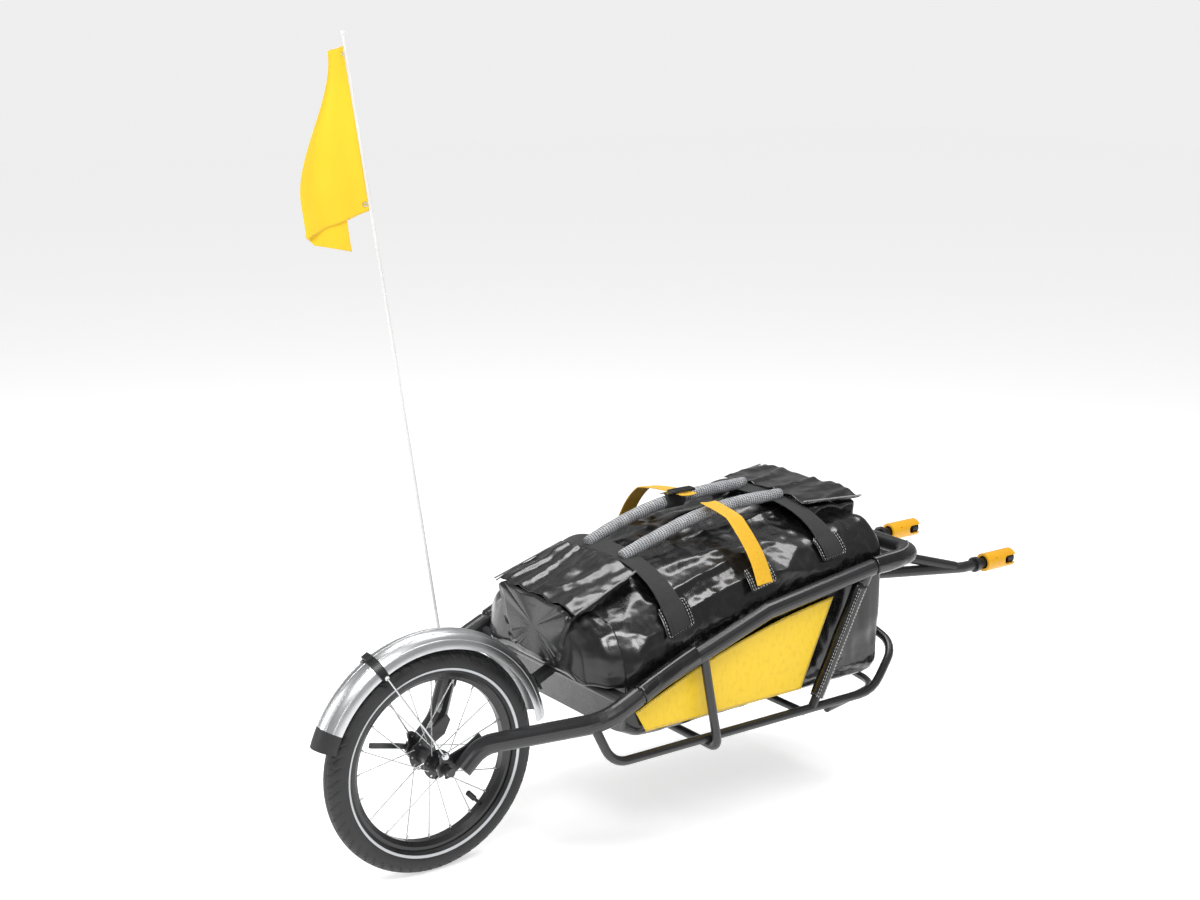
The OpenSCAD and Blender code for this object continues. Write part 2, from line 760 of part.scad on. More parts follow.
module mudguard_brackets() {
  front_block = 44;
  color("#141414") placed() {
    guard_shell(stay_angle - 2, stay_angle + 2, guard_half_w + ridge_h + 0.1, guard_half_w + 3.5);
    at_crown(stay_angle) translate([5, 0, 0]) cube([9, 13, 16], center = true);
    for (side = [-1, 1]) at_axle() rotate([0, 0, stay_angle]) translate([guard_centre_r + 2, 0, side * (guard_half_w + 4)])
      cube([10, 9, 7], center = true);
    at_crown(front_bracket_angle) translate([3.2, 0, 0]) cube([3, 26, 30], center = true);
    difference() {
      at_crown(front_bracket_angle) translate([front_block / 2 + 4, 1.5, 0]) cube([front_block, 14, 20], center = true);
      rod(cross_tube_at + [0, 40, 0], cross_tube_at - [0, 40, 0], cross_tube_r);
    }
  }
}

// One wire on each side, from the bracket down to an eye at the dropout
module mudguard_stays() {
  top_r = guard_centre_r + 2;
  top = [top_r * cos(stay_angle), guard_half_w + 8, axle_z + top_r * sin(stay_angle)];
  eye = [stay_eye[0], dropout_y + dropout_t + 2.4, axle_z + stay_eye[1]];
  along = unit(eye - top);
  color("silver") placed() both_sides() difference() {
    union() {
      rod(top + [0, 1.5, 0], eye - along * 4 + [0, 0.3, 0], stay_r);
      translate(eye) rotate([90, 0, 0]) cylinder(h = 4.6, r = 6, center = true, $fn = facets);
      translate(top) rotate([90, 0, 0]) cylinder(h = 1, r = 4, center = true, $fn = facets);
    }
    translate(eye) rotate([90, 0, 0]) cylinder(h = 8, r = stay_bolt_r, center = true, $fn = 24);
  }
}

module stay_bolts() {
  color("silver") placed() both_sides() translate([stay_eye[0], dropout_y, axle_z + stay_eye[1]]) rotate([-90, 0, 0]) {
    cylinder(h = dropout_t + 4.8, r = stay_bolt_r, $fn = 24);
    translate([0, 0, dropout_t + 4.8]) cylinder(h = 4, r = 4.5, $fn = 24);
  }
}

// ---------- bag ----------
function rail_z(x) =
  let (reach = rail_bend_r * tan((rail_pitch_rear - rail_pitch_front) / 2),
       arc_start = rail_knee - reach * [cos(rail_pitch_rear), 0, sin(rail_pitch_rear)],
       arc_end_x = rail_knee[0] + reach * cos(rail_pitch_front),
       centre_x = arc_start[0] + rail_bend_r * sin(rail_pitch_rear),
       centre_z = arc_start[2] - rail_bend_r * cos(rail_pitch_rear))
  x < arc_start[0] ? rail_start[2] + (x - rail_start[0]) * tan(rail_pitch_rear)
  : x > arc_end_x ? rail_corner[2] + (x - rail_corner[0]) * tan(rail_pitch_front)
  : centre_z + sqrt(pow(rail_bend_r, 2) - pow(x - centre_x, 2));

// Outline of the bag across its length: how far along, half width, underside, top
bag_rear_x = rail_start_x - 48;
bag_step_x = cross_tube_at[0] + cross_tube_r + bag_gap;
bag_front_x = head_x - 35;
bag_under_z = loop_z + loop_r + bag_gap;
over_cross_z = cross_tube_at[2] + cross_tube_r + bag_gap;
bag_outline = [
  [bag_rear_x, 118, over_cross_z + 20, 436], [bag_rear_x + 6, 150, over_cross_z + 4, 450],
  [bag_rear_x + 26, 186, over_cross_z, 462], [bag_step_x, 200, over_cross_z, 472],
  [bag_step_x + 1, 200, bag_under_z + 12, 472.5], [bag_step_x + 24, 213, bag_under_z + 2, 478],
  [bag_step_x + 70, bag_half_w, bag_under_z, 488], [bag_step_x + 140, bag_half_w, bag_under_z, 503],
  [bag_step_x + 240, bag_half_w, bag_under_z, 522], [bag_step_x + 340, bag_half_w, bag_under_z, 536],
  [bag_step_x + 440, bag_half_w, bag_under_z, 548], [bag_front_x - 60, bag_half_w, bag_under_z, 560],
  [bag_front_x - 22, bag_half_w - 4, bag_under_z + 2, 560], [bag_front_x - 6, bag_half_w - 18, bag_under_z + 14, 546],
  [bag_front_x, bag_half_w - 44, bag_under_z + 40, 520]
];

function mix(row, i, t, k) = row[i][k] * (1 - t) + row[i + 1][k] * t;
function outline_at(x, i = 0) =
  x < bag_outline[i + 1][0] || i == len(bag_outline) - 2
  ? let (t = (x - bag_outline[i][0]) / (bag_outline[i + 1][0] - bag_outline[i][0]))
    [for (k = [0:3]) mix(bag_outline, i, t, k)]
  : outline_at(x, i + 1);
function power(c, n) = sign(c) * pow(abs(c), 2 / n);

// A point on the bag's skin at one place along it, by the angle round its section
function bag_point(station, a, lift = 0) =
  let (side_z = max(station[2] + 24, min(rail_z(station[0]), station[3] - 30)),
       top = station[3] + lift - side_z,
       low = side_z - station[2],
       y = (station[1] + lift) * power(cos(a), sin(a) > 0 ? dome_n : side_n))
  [station[0], y, sin(a) > 0 ? side_z + top * power(sin(a), dome_n) : side_z + low * power(sin(a), side_n)];

function bag_top(x, y) =
  let (s = outline_at(x), side_z = rail_z(x))
  side_z + (s[3] - side_z) * pow(1 - pow(min(1, abs(y) / s[1]), dome_n), 1 / dome_n);

// A strip of fabric over the bag, across it at x, between two angles
module over_strip(x, half_w, from, to, low, high, steps = 16) {
  loft([for (a = [from:(to - from) / steps:to])
    let (p = outline_at(x - half_w), q = outline_at(x + half_w))
    [bag_point(p, a, low), bag_point(q, a, low), bag_point(q, a, high), bag_point(p, a, high)]]);
}

module dry_bag() {
  color("#18181a") placed() {
    loft([for (s = bag_outline) [for (j = [0:39]) bag_point(s, j * 9)]]);
    hull() fold_box(bag_rear_x + 0.5, bag_rear_x + 128, 122, 112, 452, 502, 66);
    hull() fold_box(strap_xs[1] + webbing_w / 2 + 5, bag_front_x - 12, 112, 142, 566, 574, 40);
  }
}

module fold_box(rear_x, front_x, rear_half_w, front_half_w, rear_z, front_z, depth) {
  corner = 1;
  for (side = [-1, 1]) {
    translate([rear_x, side * rear_half_w, rear_z - depth]) cube([corner, corner, depth]);
    translate([front_x - corner, side * front_half_w, front_z - depth]) cube([corner, corner, depth]);
  }
}

// Coloured panels on the bag's sides, between the rails and the loop
module side_panels() {
  rear_x = hoop_top_x - 128;
  color("#ffd21f") placed() both_sides() translate([0, bag_half_w + fit_gap + 2, 0]) rotate([90, 0, 0])
    linear_extrude(height = 2) polygon(concat(
      [[rear_x + 22, loop_z + 34], [strut_foot_x - 14, loop_z + 34]],
      [for (x = [strut_top_x - 66:-60:rear_x]) [x, rail_z(x) - rail_r - 24]]));
}

module rail_wraps() {
  color("#202022") placed() both_sides() difference() {
    intersection() {
      rail_path(rail_r + 3.2);
      union() {
        translate([rail_start_x + 2, 0, 0]) cube([hoop_top_x - hoop_r - rail_start_x - 8, 400, 700]);
        translate([strut_top_x + 14, rail_half_w - 44, 0]) cube([front_x - strut_top_x + 30, 200, 700]);
      }
    }
    rail_path(rail_r + fit_gap + 0.2);
    strut_rod(hoop_r + 2.5 + fit_gap);
  }
}

module strut_wraps() {
  foot = [strut_foot_x, rail_half_w, loop_z];
  top = [strut_top_x, rail_half_w, rail_corner[2] - 6];
  color("#202022") placed() both_sides() difference() {
    rod(foot + (top - foot) * 0.08, foot + (top - foot) * 0.87, hoop_r + 2.5);
    strut_rod(hoop_r + fit_gap);
  }
}

module handle_patches() {
  color("#19191b") placed() for (side = [0, 1]) mirror([0, side, 0]) {
    for (x = strap_xs) over_strip(x, webbing_w / 2 + 8, 14, 40, fit_gap, 1.8);
    over_strip(centre_strap_x, webbing_w / 2 + 8, 14, 36, fit_gap, 1.8);
  }
}

module handle_straps() {
  color("#222224") placed() for (x = strap_xs) over_strip(x, webbing_w / 2, 16, 164, 2.4, 4.4, 32);
}

module handle_grips() {
  from = strap_xs[0] - 8;
  to = strap_xs[1] + 8;
  color("#b9bcc0") placed() for (side = [-1, 1])
    loft([for (t = [0:1 / 12:1.001]) let (x = from + (to - from) * t, z = bag_top(x, grip_y) + grip_r + 5 + 16 * sin(180 * t))
      [for (a = [0:24:359]) [x, side * grip_y + grip_r * cos(a), z + grip_r * sin(a)]]]);
}

// Height of the centre strap over the bag: up and over the two grips
function strap_rise(a) = 2.1 + (2 * grip_r + 24) * pow(max(0, min(1, (90 - abs(a - 90)) / 42 - 0.55)), 1.5);

module centre_strap() {
  color("#ffd21f") placed() loft([for (a = [18:6:162])
    let (p = outline_at(centre_strap_x - webbing_w / 2 + 2), q = outline_at(centre_strap_x + webbing_w / 2 - 2),
         low = strap_rise(a))
    [bag_point(p, a, low), bag_point(q, a, low), bag_point(q, a, low + 2), bag_point(p, a, low + 2)]]);
}

module strap_buckle() {
  at = [centre_strap_x, 24, bag_top(centre_strap_x, 24) + strap_rise(84) + 7.6];
  color("#121212") placed() translate(at) difference() {
    cube([52, 18, 6], center = true);
    cube([40, 8, 8], center = true);
  }
}

// ---------- flag ----------
module pole_frame() {
  translate(pole_seat) rotate([0, -pole_lean, 0]) children();
}

module flag_socket() {
  color("#141414") placed() difference() {
    union() {
      pole_frame() translate([0, 0, arm_r - 4]) cylinder(h = socket_top - arm_r + 4, r = pole_r + 4, $fn = facets);
      rod(pole_seat - arm_heading * 12, pole_seat + arm_heading * 12, arm_r + 2.5);
    }
    rod(pole_seat - arm_heading * 40, pole_seat + arm_heading * 40, arm_r);
    pole_frame() translate([0, 0, pole_foot]) cylinder(h = 100, r = pole_r + running_gap, $fn = facets);
  }
}

module flag_pole() {
  color("white") placed() pole_frame() translate([0, 0, pole_foot + 0.2]) {
    cylinder(h = pole_length, r = pole_r, $fn = 24);
    translate([0, 0, pole_length]) cylinder(h = 6, r = pole_r + 1, $fn = 24);
  }
}

// The flag hangs from the pole's top, with its free edge folded down
module flag() {
  color("#ffd21f") placed() pole_frame() translate([0, 0, pole_foot + pole_length - flag_drop])
    rotate([90, 0, 0]) linear_extrude(height = 14, center = true) polygon([
      [-pole_r - fit_gap, 0], [-24, 4], [-58, -60], [-118, -flag_h - 18], [-36, -flag_h - 72],
      [-40, -flag_h - 6], [-pole_r - fit_gap, -flag_h]
    ]);
}

tyre();
inner_tube();
valve_cap();
rim();
spokes();
spoke_nipples();
hub_shell();
hub_bearings();
axle();
axle_locknuts();
skewer();
skewer_nut();
cam_housing();
quick_release_lever();
right_dropout();
left_dropout();
right_rear_arm();
left_rear_arm();
right_rail();
left_rail();
front_tube();
rear_cross_tube();
right_loop_tube();
left_loop_tube();
front_loop();
front_skid();
mid_hoop();
right_front_strut();
left_front_strut();
bed_cross_tube();
head_lugs();
steering_pin();
pin_clip();
fork_barrel();
fork_bushes();
right_fork_arm();
left_fork_arm();
right_hook();
left_hook();
sleeve_o_rings();
right_lock_sleeve();
left_lock_sleeve();
mudguard();
mudguard_flap();
mudguard_brackets();
mudguard_stays();
stay_bolts();
dry_bag();
side_panels();
rail_wraps();
strut_wraps();
handle_patches();
handle_straps();
handle_grips();
centre_strap();
strap_buckle();
flag_socket();
flag_pole();
flag();
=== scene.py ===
import json
import math

import bmesh
import bpy
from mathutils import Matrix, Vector, noise


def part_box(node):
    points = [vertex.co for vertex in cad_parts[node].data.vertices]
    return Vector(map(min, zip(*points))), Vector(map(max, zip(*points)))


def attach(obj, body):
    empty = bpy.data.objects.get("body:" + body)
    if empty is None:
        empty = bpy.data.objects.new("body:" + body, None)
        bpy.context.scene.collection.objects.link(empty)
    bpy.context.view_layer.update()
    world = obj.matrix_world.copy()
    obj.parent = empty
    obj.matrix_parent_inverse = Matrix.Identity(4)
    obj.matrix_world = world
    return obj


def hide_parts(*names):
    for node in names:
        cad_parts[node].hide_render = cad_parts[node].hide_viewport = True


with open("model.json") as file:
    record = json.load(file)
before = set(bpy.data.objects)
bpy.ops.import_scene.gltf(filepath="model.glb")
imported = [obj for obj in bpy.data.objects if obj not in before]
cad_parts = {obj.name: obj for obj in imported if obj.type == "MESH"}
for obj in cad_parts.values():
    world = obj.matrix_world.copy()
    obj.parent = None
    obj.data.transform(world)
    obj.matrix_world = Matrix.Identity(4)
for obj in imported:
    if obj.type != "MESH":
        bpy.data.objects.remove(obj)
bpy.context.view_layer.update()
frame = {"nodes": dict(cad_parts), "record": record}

MM = 0.001
scene = bpy.context.scene


def middle(node):
    low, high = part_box(node)
    return (low + high) / 2


AXLE = middle("axle")


def at(x, y, z):
    """A point in metres from millimetres: x forward of the wheel's axle, y left, z up from the floor."""
    return Vector((AXLE.x + x * MM, y * MM, z * MM))


# ---------- camera, lights and floor ----------
def add_camera():
    azimuth = math.radians(-35.8)
    elevation = math.radians(13.6)
    distance = 3.2687
    target = Vector((-0.1765, -0.0056, 0.6935))
    back = Vector((math.sin(azimuth) * math.cos(elevation), -math.cos(azimuth) * math.cos(elevation),
                   math.sin(elevation)))
    data = bpy.data.cameras.new("camera")
    data.lens = 56.3
    data.sensor_width = 36
    camera = bpy.data.objects.new("camera", data)
    scene.collection.objects.link(camera)
    camera.location = target + back * distance
    camera.rotation_euler = back.to_track_quat("Z", "Y").to_euler()
    camera.rotation_euler.rotate_axis("Z", math.radians(0.2))
    data.clip_end = 60
    scene.camera = camera


def add_light(name, place, aim, size, power, colour=(1, 1, 1)):
    data = bpy.data.lights.new(name, "AREA")
    data.shape = "RECTANGLE"
    data.size = size[0]
    data.size_y = size[1]
    data.energy = power
    data.color = colour
    light = bpy.data.objects.new(name, data)
    scene.collection.objects.link(light)
    light.location = place
    light.rotation_euler = (Vector(place) - Vector(aim)).to_track_quat("Z", "Y").to_euler()


BACKDROP_SEEN = 0.86      # strength of the pale backdrop where it is seen
STUDIO_FILL = 0.34        # strength of the same light where it falls on things
FLOOR_GLOW = 0.58         # lifts the far floor to the backdrop's brightness


def add_studio():
    """A pale, even backdrop, three softboxes and a plain floor that runs into the backdrop."""
    world = bpy.data.worlds.new("studio")
    world.use_nodes = True
    background = world.node_tree.nodes["Background"]
    background.inputs["Color"].default_value = (1, 1, 1, 1)
    tree = world.node_tree
    ray = tree.nodes.new("ShaderNodeLightPath")
    strength = tree.nodes.new("ShaderNodeMapRange")
    strength.inputs["To Min"].default_value = STUDIO_FILL
    strength.inputs["To Max"].default_value = BACKDROP_SEEN
    tree.links.new(ray.outputs["Is Camera Ray"], strength.inputs["Value"])
    tree.links.new(strength.outputs["Result"], background.inputs["Strength"])
    scene.world = world
    scene.view_settings.view_transform = "Standard"
    add_light("key", (-1.6, -2.2, 3.4), (-0.1, 0, 0.4), (1.8, 1.0), 84)
    add_light("top", (0.5, 0.5, 3.2), (0, 0, 0.4), (2.4, 0.9), 56)
    add_light("side", (-3.4, 1.6, 1.9), (-0.2, 0, 0.4), (0.9, 1.8), 38)
    floor = bpy.data.meshes.new("floor")
    reach = 14
    floor.from_pydata([(-reach, -reach, 0), (reach, -reach, 0), (reach, reach, 0), (-reach, reach, 0)],
                      [], [(0, 1, 2, 3)])
    floor = bpy.data.objects.new("floor", floor)
    scene.collection.objects.link(floor)
    material = bpy.data.materials.new("floor_pale")
    material.use_nodes = True
    shader = material.node_tree.nodes["Principled BSDF"]
    shader.inputs["Base Color"].default_value = (0.8, 0.8, 0.8, 1)
    shader.inputs["Emission Color"].default_value = (1, 1, 1, 1)
    shader.inputs["Emission Strength"].default_value = FLOOR_GLOW
    shader.inputs["Roughness"].default_value = 0.9
    shader.inputs["Specular IOR Level"].default_value = 0.1
    floor.data.materials.append(material)


add_camera()
add_studio()


# ---------- materials ----------
class Nodes:
    """Builds a material's node tree, one call for each node."""

    def __init__(self, name):
        self.material = bpy.data.materials.new(name)
        self.material.use_nodes = True
        self.tree = self.material.node_tree
        self.shader = self.tree.nodes["Principled BSDF"]
        self.place = self.tree.nodes.new("ShaderNodeTexCoord")

    def link(self, source, target):
        self.tree.links.new(source, target)

    def add(self, kind, **values):
        node = self.tree.nodes.new(kind)
        for key, value in values.items():
            setattr(node, key, value)
        return node

    def coordinates(self, uv=False, stretch=(1, 1, 1)):
        mapping = self.add("ShaderNodeMapping")
        mapping.inputs["Scale"].default_value = stretch
        self.link(self.place.outputs["UV" if uv else "Object"], mapping.inputs["Vector"])
        return mapping.outputs["Vector"]

    def noise(self, scale, detail=4, vector=None, roughness=0.5):
        node = self.add("ShaderNodeTexNoise")
        node.inputs["Scale"].default_value = scale
        node.inputs["Detail"].default_value = detail
        node.inputs["Roughness"].default_value = roughness
        self.link(vector or self.place.outputs["Object"], node.inputs["Vector"])
        return node.outputs["Fac"]

    def spread(self, value, low, high, from_low=0.3, from_high=0.7):
        node = self.add("ShaderNodeMapRange")
        for key, number in (("From Min", from_low), ("From Max", from_high), ("To Min", low),
                            ("To Max", high)):
            node.inputs[key].default_value = number
        self.link(value, node.inputs["Value"])
        return node.outputs["Result"]

    def math(self, operation, a, b=None):
        node = self.add("ShaderNodeMath", operation=operation)
        for socket, value in zip(node.inputs, (a, b)):
            if value is None:
                continue
            if isinstance(value, (int, float)):
                socket.default_value = value
            else:
                self.link(value, socket)
        return node.outputs[0]

    def mix(self, factor, a, b):
        node = self.add("ShaderNodeMix", data_type="RGBA")
        self.link(factor, node.inputs["Factor"])
        for key, value in (("A", a), ("B", b)):
            socket = [s for s in node.inputs if s.name == key and s.type == "RGBA"][0]
            if isinstance(value, tuple):
                socket.default_value = (*value, 1)
            else:
                self.link(value, socket)
        return [s for s in node.outputs if s.type == "RGBA"][0]

    def bump(self, height, strength, distance, after=None):
        node = self.add("ShaderNodeBump")
        node.inputs["Strength"].default_value = strength
        node.inputs["Distance"].default_value = distance
        self.link(height, node.inputs["Height"])
        if after is not None:
            self.link(after, node.inputs["Normal"])
        return node.outputs["Normal"]

    def weave(self, pitch, uv=True):
        """Two crossed sets of threads, pitch metres apart, from 0 in the gaps to 1 on the threads."""
        vector = self.place.outputs["UV" if uv else "Object"]
        waves = []
        for direction in ("X", "Y"):
            wave = self.add("ShaderNodeTexWave", wave_type="BANDS", bands_direction=direction)
            wave.inputs["Scale"].default_value = 0.314 / pitch
            wave.inputs["Distortion"].default_value = 0.4
            self.link(vector, wave.inputs["Vector"])
            waves.append(wave.outputs["Fac"])
        return self.math("MULTIPLY", self.math("ADD", waves[0], waves[1]), 0.5)

    def set(self, **values):
        for key, value in values.items():
            socket = self.shader.inputs[key.replace("_", " ")]
            if hasattr(value, "is_linked"):
                self.link(value, socket)
            elif isinstance(value, tuple):
                socket.default_value = (*value, 1)
            else:
                socket.default_value = value


def grained(name, colour, shade, rough, grain=(420, 0.00012), metal=0.0, coat=0.0, patch=9,
            coat_rough=0.08):
    """A moulded, painted or metal finish: colour varies to shade in patches, roughness from low to high."""
    n = Nodes(name)
    patches = n.noise(patch, 5)
    specks = n.noise(grain[0], 3)
    n.set(Base_Color=n.mix(n.spread(n.math("ADD", n.math("MULTIPLY", patches, 0.75),
                                           n.math("MULTIPLY", specks, 0.25)), 0, 1),
                           colour, shade))
    n.set(Roughness=n.spread(patches, rough[0], rough[1]), Metallic=metal)
    n.set(Coat_Weight=coat, Coat_Roughness=coat_rough)
    n.set(Normal=n.bump(specks, 0.6, grain[1]))
    return n.material


def rubber_tyre():
    n = Nodes("tyre_rubber")
    split = n.add("ShaderNodeSeparateXYZ")
    n.link(n.place.outputs["Object"], split.inputs["Vector"])
    dx = n.math("SUBTRACT", split.outputs["X"], AXLE.x)
    dz = n.math("SUBTRACT", split.outputs["Z"], AXLE.z)
    radius = n.math("SQRT", n.math("ADD", n.math("MULTIPLY", dx, dx), n.math("MULTIPLY", dz, dz)))
    stripe = n.math("LESS_THAN", n.math("ABSOLUTE", n.math("SUBTRACT", radius, 0.1655)), 0.0021)
    away = n.math("GREATER_THAN", n.math("ABSOLUTE", split.outputs["Y"]), 0.008)
    stripe = n.math("MULTIPLY", stripe, away)
    dust = n.noise(34, 6)
    black = n.mix(n.spread(dust, 0, 1), (0.010, 0.010, 0.011), (0.026, 0.026, 0.027))
    n.set(Base_Color=n.mix(stripe, black, (0.62, 0.64, 0.66)))
    n.set(Roughness=n.math("SUBTRACT", n.spread(dust, 0.42, 0.6), n.math("MULTIPLY", stripe, 0.16)))
    n.set(Normal=n.bump(n.noise(900, 3), 0.5, 0.0002))
    return n.material


def brushed_silver():
    """Polished aluminium with fine scratches round the wheel's axle."""
    n = Nodes("mudguard_brushed")
    split = n.add("ShaderNodeSeparateXYZ")
    n.link(n.place.outputs["Object"], split.inputs["Vector"])
    dx = n.math("SUBTRACT", split.outputs["X"], AXLE.x)
    dz = n.math("SUBTRACT", split.outputs["Z"], AXLE.z)
    radius = n.math("SQRT", n.math("ADD", n.math("MULTIPLY", dx, dx), n.math("MULTIPLY", dz, dz)))
    join = n.add("ShaderNodeCombineXYZ")
    n.link(n.math("MULTIPLY", n.math("ARCTAN2", dz, dx), 1.6), join.inputs["X"])
    n.link(n.math("MULTIPLY", radius, 130), join.inputs["Y"])
    n.link(n.math("MULTIPLY", split.outputs["Y"], 130), join.inputs["Z"])
    scratches = n.noise(9, 4, join.outputs["Vector"])
    smudge = n.noise(14, 5)
    n.set(Base_Color=n.mix(n.spread(scratches, 0, 1), (0.60, 0.61, 0.62), (0.70, 0.71, 0.72)), Metallic=1.0)
    n.set(Roughness=n.math("ADD", n.spread(scratches, 0.29, 0.35), n.spread(smudge, 0, 0.03)))
    n.set(Normal=n.bump(scratches, 0.15, 0.00005))
    return n.material


def tarpaulin(name, colour, shade, rough, coat, weave=0.0011, depth=0.00006):
    """Coated fabric: a faint weave under a glossy skin, small creases and scuffs."""
    n = Nodes(name)
    cloudy = n.noise(7, 6)
    creases = n.add("ShaderNodeTexNoise", noise_type="RIDGED_MULTIFRACTAL")
    creases.inputs["Scale"].default_value = 17
    creases.inputs["Detail"].default_value = 3
    n.link(n.place.outputs["Object"], creases.inputs["Vector"])
    scuffs = n.noise(120, 4, n.coordinates(stretch=(1, 0.3, 0.6)))
    n.set(Base_Color=n.mix(n.spread(scuffs, 0, 1, 0.5, 0.85), colour, shade))
    n.set(Roughness=n.math("ADD", n.spread(cloudy, rough[0], rough[1]),
                           n.spread(scuffs, 0, 0.12, 0.5, 0.8)))
    n.set(Coat_Weight=coat, Coat_Roughness=0.11)
    fine = n.bump(n.weave(weave, uv=False), 0.35, depth)
    n.set(Normal=n.bump(n.spread(creases.outputs["Fac"], 0, 1, 0, 1.6), 0.4, 0.0022, fine))
    return n.material


def webbing(name, colour, shade, rough=0.72):
    """Flat woven strap: ribs across it, a fine twill along it; needs UVs in metres."""
    n = Nodes(name)
    uv = n.place.outputs["UV"]
    ribs = n.add("ShaderNodeTexWave", wave_type="BANDS", bands_direction="Y")
    ribs.inputs["Scale"].default_value = 0.314 / 0.0016
    ribs.inputs["Distortion"].default_value = 0.6
    n.link(uv, ribs.inputs["Vector"])
    twill = n.weave(0.0011)
    thread = n.math("MULTIPLY", n.math("ADD", ribs.outputs["Fac"], twill), 0.5)
    fuzz = n.noise(260, 4)
    n.set(Base_Color=n.mix(n.spread(n.math("MULTIPLY", thread, fuzz), 0, 1, 0.08, 0.5), shade, colour))
    n.set(Roughness=n.spread(fuzz, rough - 0.1, rough + 0.1), Sheen_Weight=0.12)
    n.set(Normal=n.bump(thread, 0.7, 0.0003))
    return n.material


def grip_mesh():
    """Knitted silver-grey sleeve with rows of small dark gaps; needs UVs in metres."""
    n = Nodes("grip_knit")
    cells = n.add("ShaderNodeTexVoronoi", feature="F1")
    cells.inputs["Scale"].default_value = 310
    cells.inputs["Randomness"].default_value = 0.12
    n.link(n.coordinates(uv=True, stretch=(1, 0.62, 1)), cells.inputs["Vector"])
    gap = n.spread(cells.outputs["Distance"], 0, 1, 0.22, 0.52)
    shine = n.noise(60, 3)
    knit = n.mix(n.spread(shine, 0, 1), (0.42, 0.43, 0.45), (0.66, 0.67, 0.69))
    n.set(Base_Color=n.mix(gap, (0.05, 0.05, 0.06), knit))
    n.set(Roughness=n.spread(shine, 0.45, 0.6), Sheen_Weight=0.1)
    n.set(Normal=n.bump(gap, 0.9, 0.0006))
    return n.material


def nylon(name, colour, shade):
    """Thin bright cloth that lets some light through."""
    n = Nodes(name)
    cloudy = n.noise(5, 5)
    n.set(Base_Color=n.mix(n.spread(cloudy, 0, 1), colour, shade))
    n.set(Roughness=n.spread(cloudy, 0.5, 0.65), Sheen_Weight=0.15, Subsurface_Weight=0.25)
    n.shader.inputs["Subsurface Radius"].default_value = (0.01, 0.006, 0.002)
    n.shader.inputs["Subsurface Scale"].default_value = 0.4
    soft = n.bump(n.weave(0.0009), 0.4, 0.0001)
    n.set(Normal=n.bump(n.noise(26, 4), 0.35, 0.0014, soft))
    return n.material


FINISH = {
    "tyre": rubber_tyre(),
    "butyl_rubber": grained("butyl", (0.02, 0.02, 0.02), (0.035, 0.035, 0.035), (0.5, 0.7)),
    "black_plastic": grained("plastic", (0.012, 0.012, 0.013), (0.022, 0.022, 0.023), (0.32, 0.5),
                             (500, 0.0001)),
    "rim_black": grained("rim_anodised", (0.010, 0.010, 0.011), (0.02, 0.02, 0.021), (0.24, 0.36),
                         (700, 0.00005), coat=0.35),
    "steel": grained("steel", (0.52, 0.53, 0.54), (0.72, 0.73, 0.74), (0.2, 0.34), (520, 0.00004),
                     metal=1.0),
    "hub_black": grained("hub_anodised", (0.012, 0.012, 0.013), (0.03, 0.03, 0.032), (0.22, 0.36),
                         (600, 0.00005), coat=0.4),
    "frame_black": grained("frame_paint", (0.009, 0.009, 0.010), (0.020, 0.020, 0.022), (0.27, 0.38),
                           (330, 0.0001), coat=0.35,
                           coat_rough=0.2),
    "hook_steel": grained("hook_blackened", (0.02, 0.02, 0.021), (0.05, 0.05, 0.052), (0.3, 0.45),
                          (420, 0.0001), metal=0.6),
    "bush_bronze": grained("bronze", (0.35, 0.22, 0.08), (0.45, 0.3, 0.12), (0.3, 0.45), (420, 0.0001),
                           metal=1.0),
    "ring_rubber": grained("ring", (0.015, 0.015, 0.015), (0.03, 0.03, 0.03), (0.45, 0.6)),
    "lock_yellow": grained("sleeve_moulded", (0.90, 0.46, 0.012), (0.80, 0.38, 0.010), (0.34, 0.46),
                           (380, 0.00012), coat=0.1),
    "mudguard_silver": brushed_silver(),
    "tarpaulin_black": tarpaulin("tarpaulin", (0.0035, 0.0035, 0.004), (0.011, 0.011, 0.012),
                                 (0.20, 0.32), 0.45),
    "panel_yellow": tarpaulin("panel", (0.93, 0.62, 0.016), (0.80, 0.50, 0.012), (0.42, 0.56), 0.1),
    "webbing_black": webbing("webbing", (0.022, 0.022, 0.023), (0.006, 0.006, 0.006)),
    "grip_mesh": grip_mesh(),
    "strap_yellow": webbing("strap", (0.93, 0.56, 0.014), (0.72, 0.37, 0.008), 0.62),
    "pole_white": grained("pole_glass", (0.80, 0.80, 0.79), (0.68, 0.68, 0.67), (0.3, 0.42),
                          (800, 0.00005), coat=0.2),
    "flag_yellow": nylon("flag_cloth", (0.95, 0.62, 0.012), (0.90, 0.52, 0.010)),
}
THREAD = grained("thread", (0.62, 0.62, 0.60), (0.45, 0.45, 0.44), (0.6, 0.75), (900, 0.0001))
# Grey for the cords along the lid and sleeve edges: a painted highlight where those edges catch the light.
# The sleeve stitches share it.
PIPING_HIGHLIGHT_AND_STITCH = grained("highlight_piping", (0.30, 0.30, 0.31), (0.18, 0.18, 0.19), (0.25, 0.4), (500, 0.0001))
HOOK_TAPE = webbing("hook_tape", (0.05, 0.05, 0.055), (0.02, 0.02, 0.022), 0.85)
LABEL = webbing("label", (0.62, 0.60, 0.10), (0.45, 0.42, 0.06), 0.6)


def paint_nodes():
    """Gives each CAD node the finish of its slot in the record."""
    for entry in frame["record"]["subparts"]:
        mesh = frame["nodes"][entry["node"]].data
        mesh.materials.clear()
        mesh.materials.append(FINISH[entry["material_slot"]])


paint_nodes()


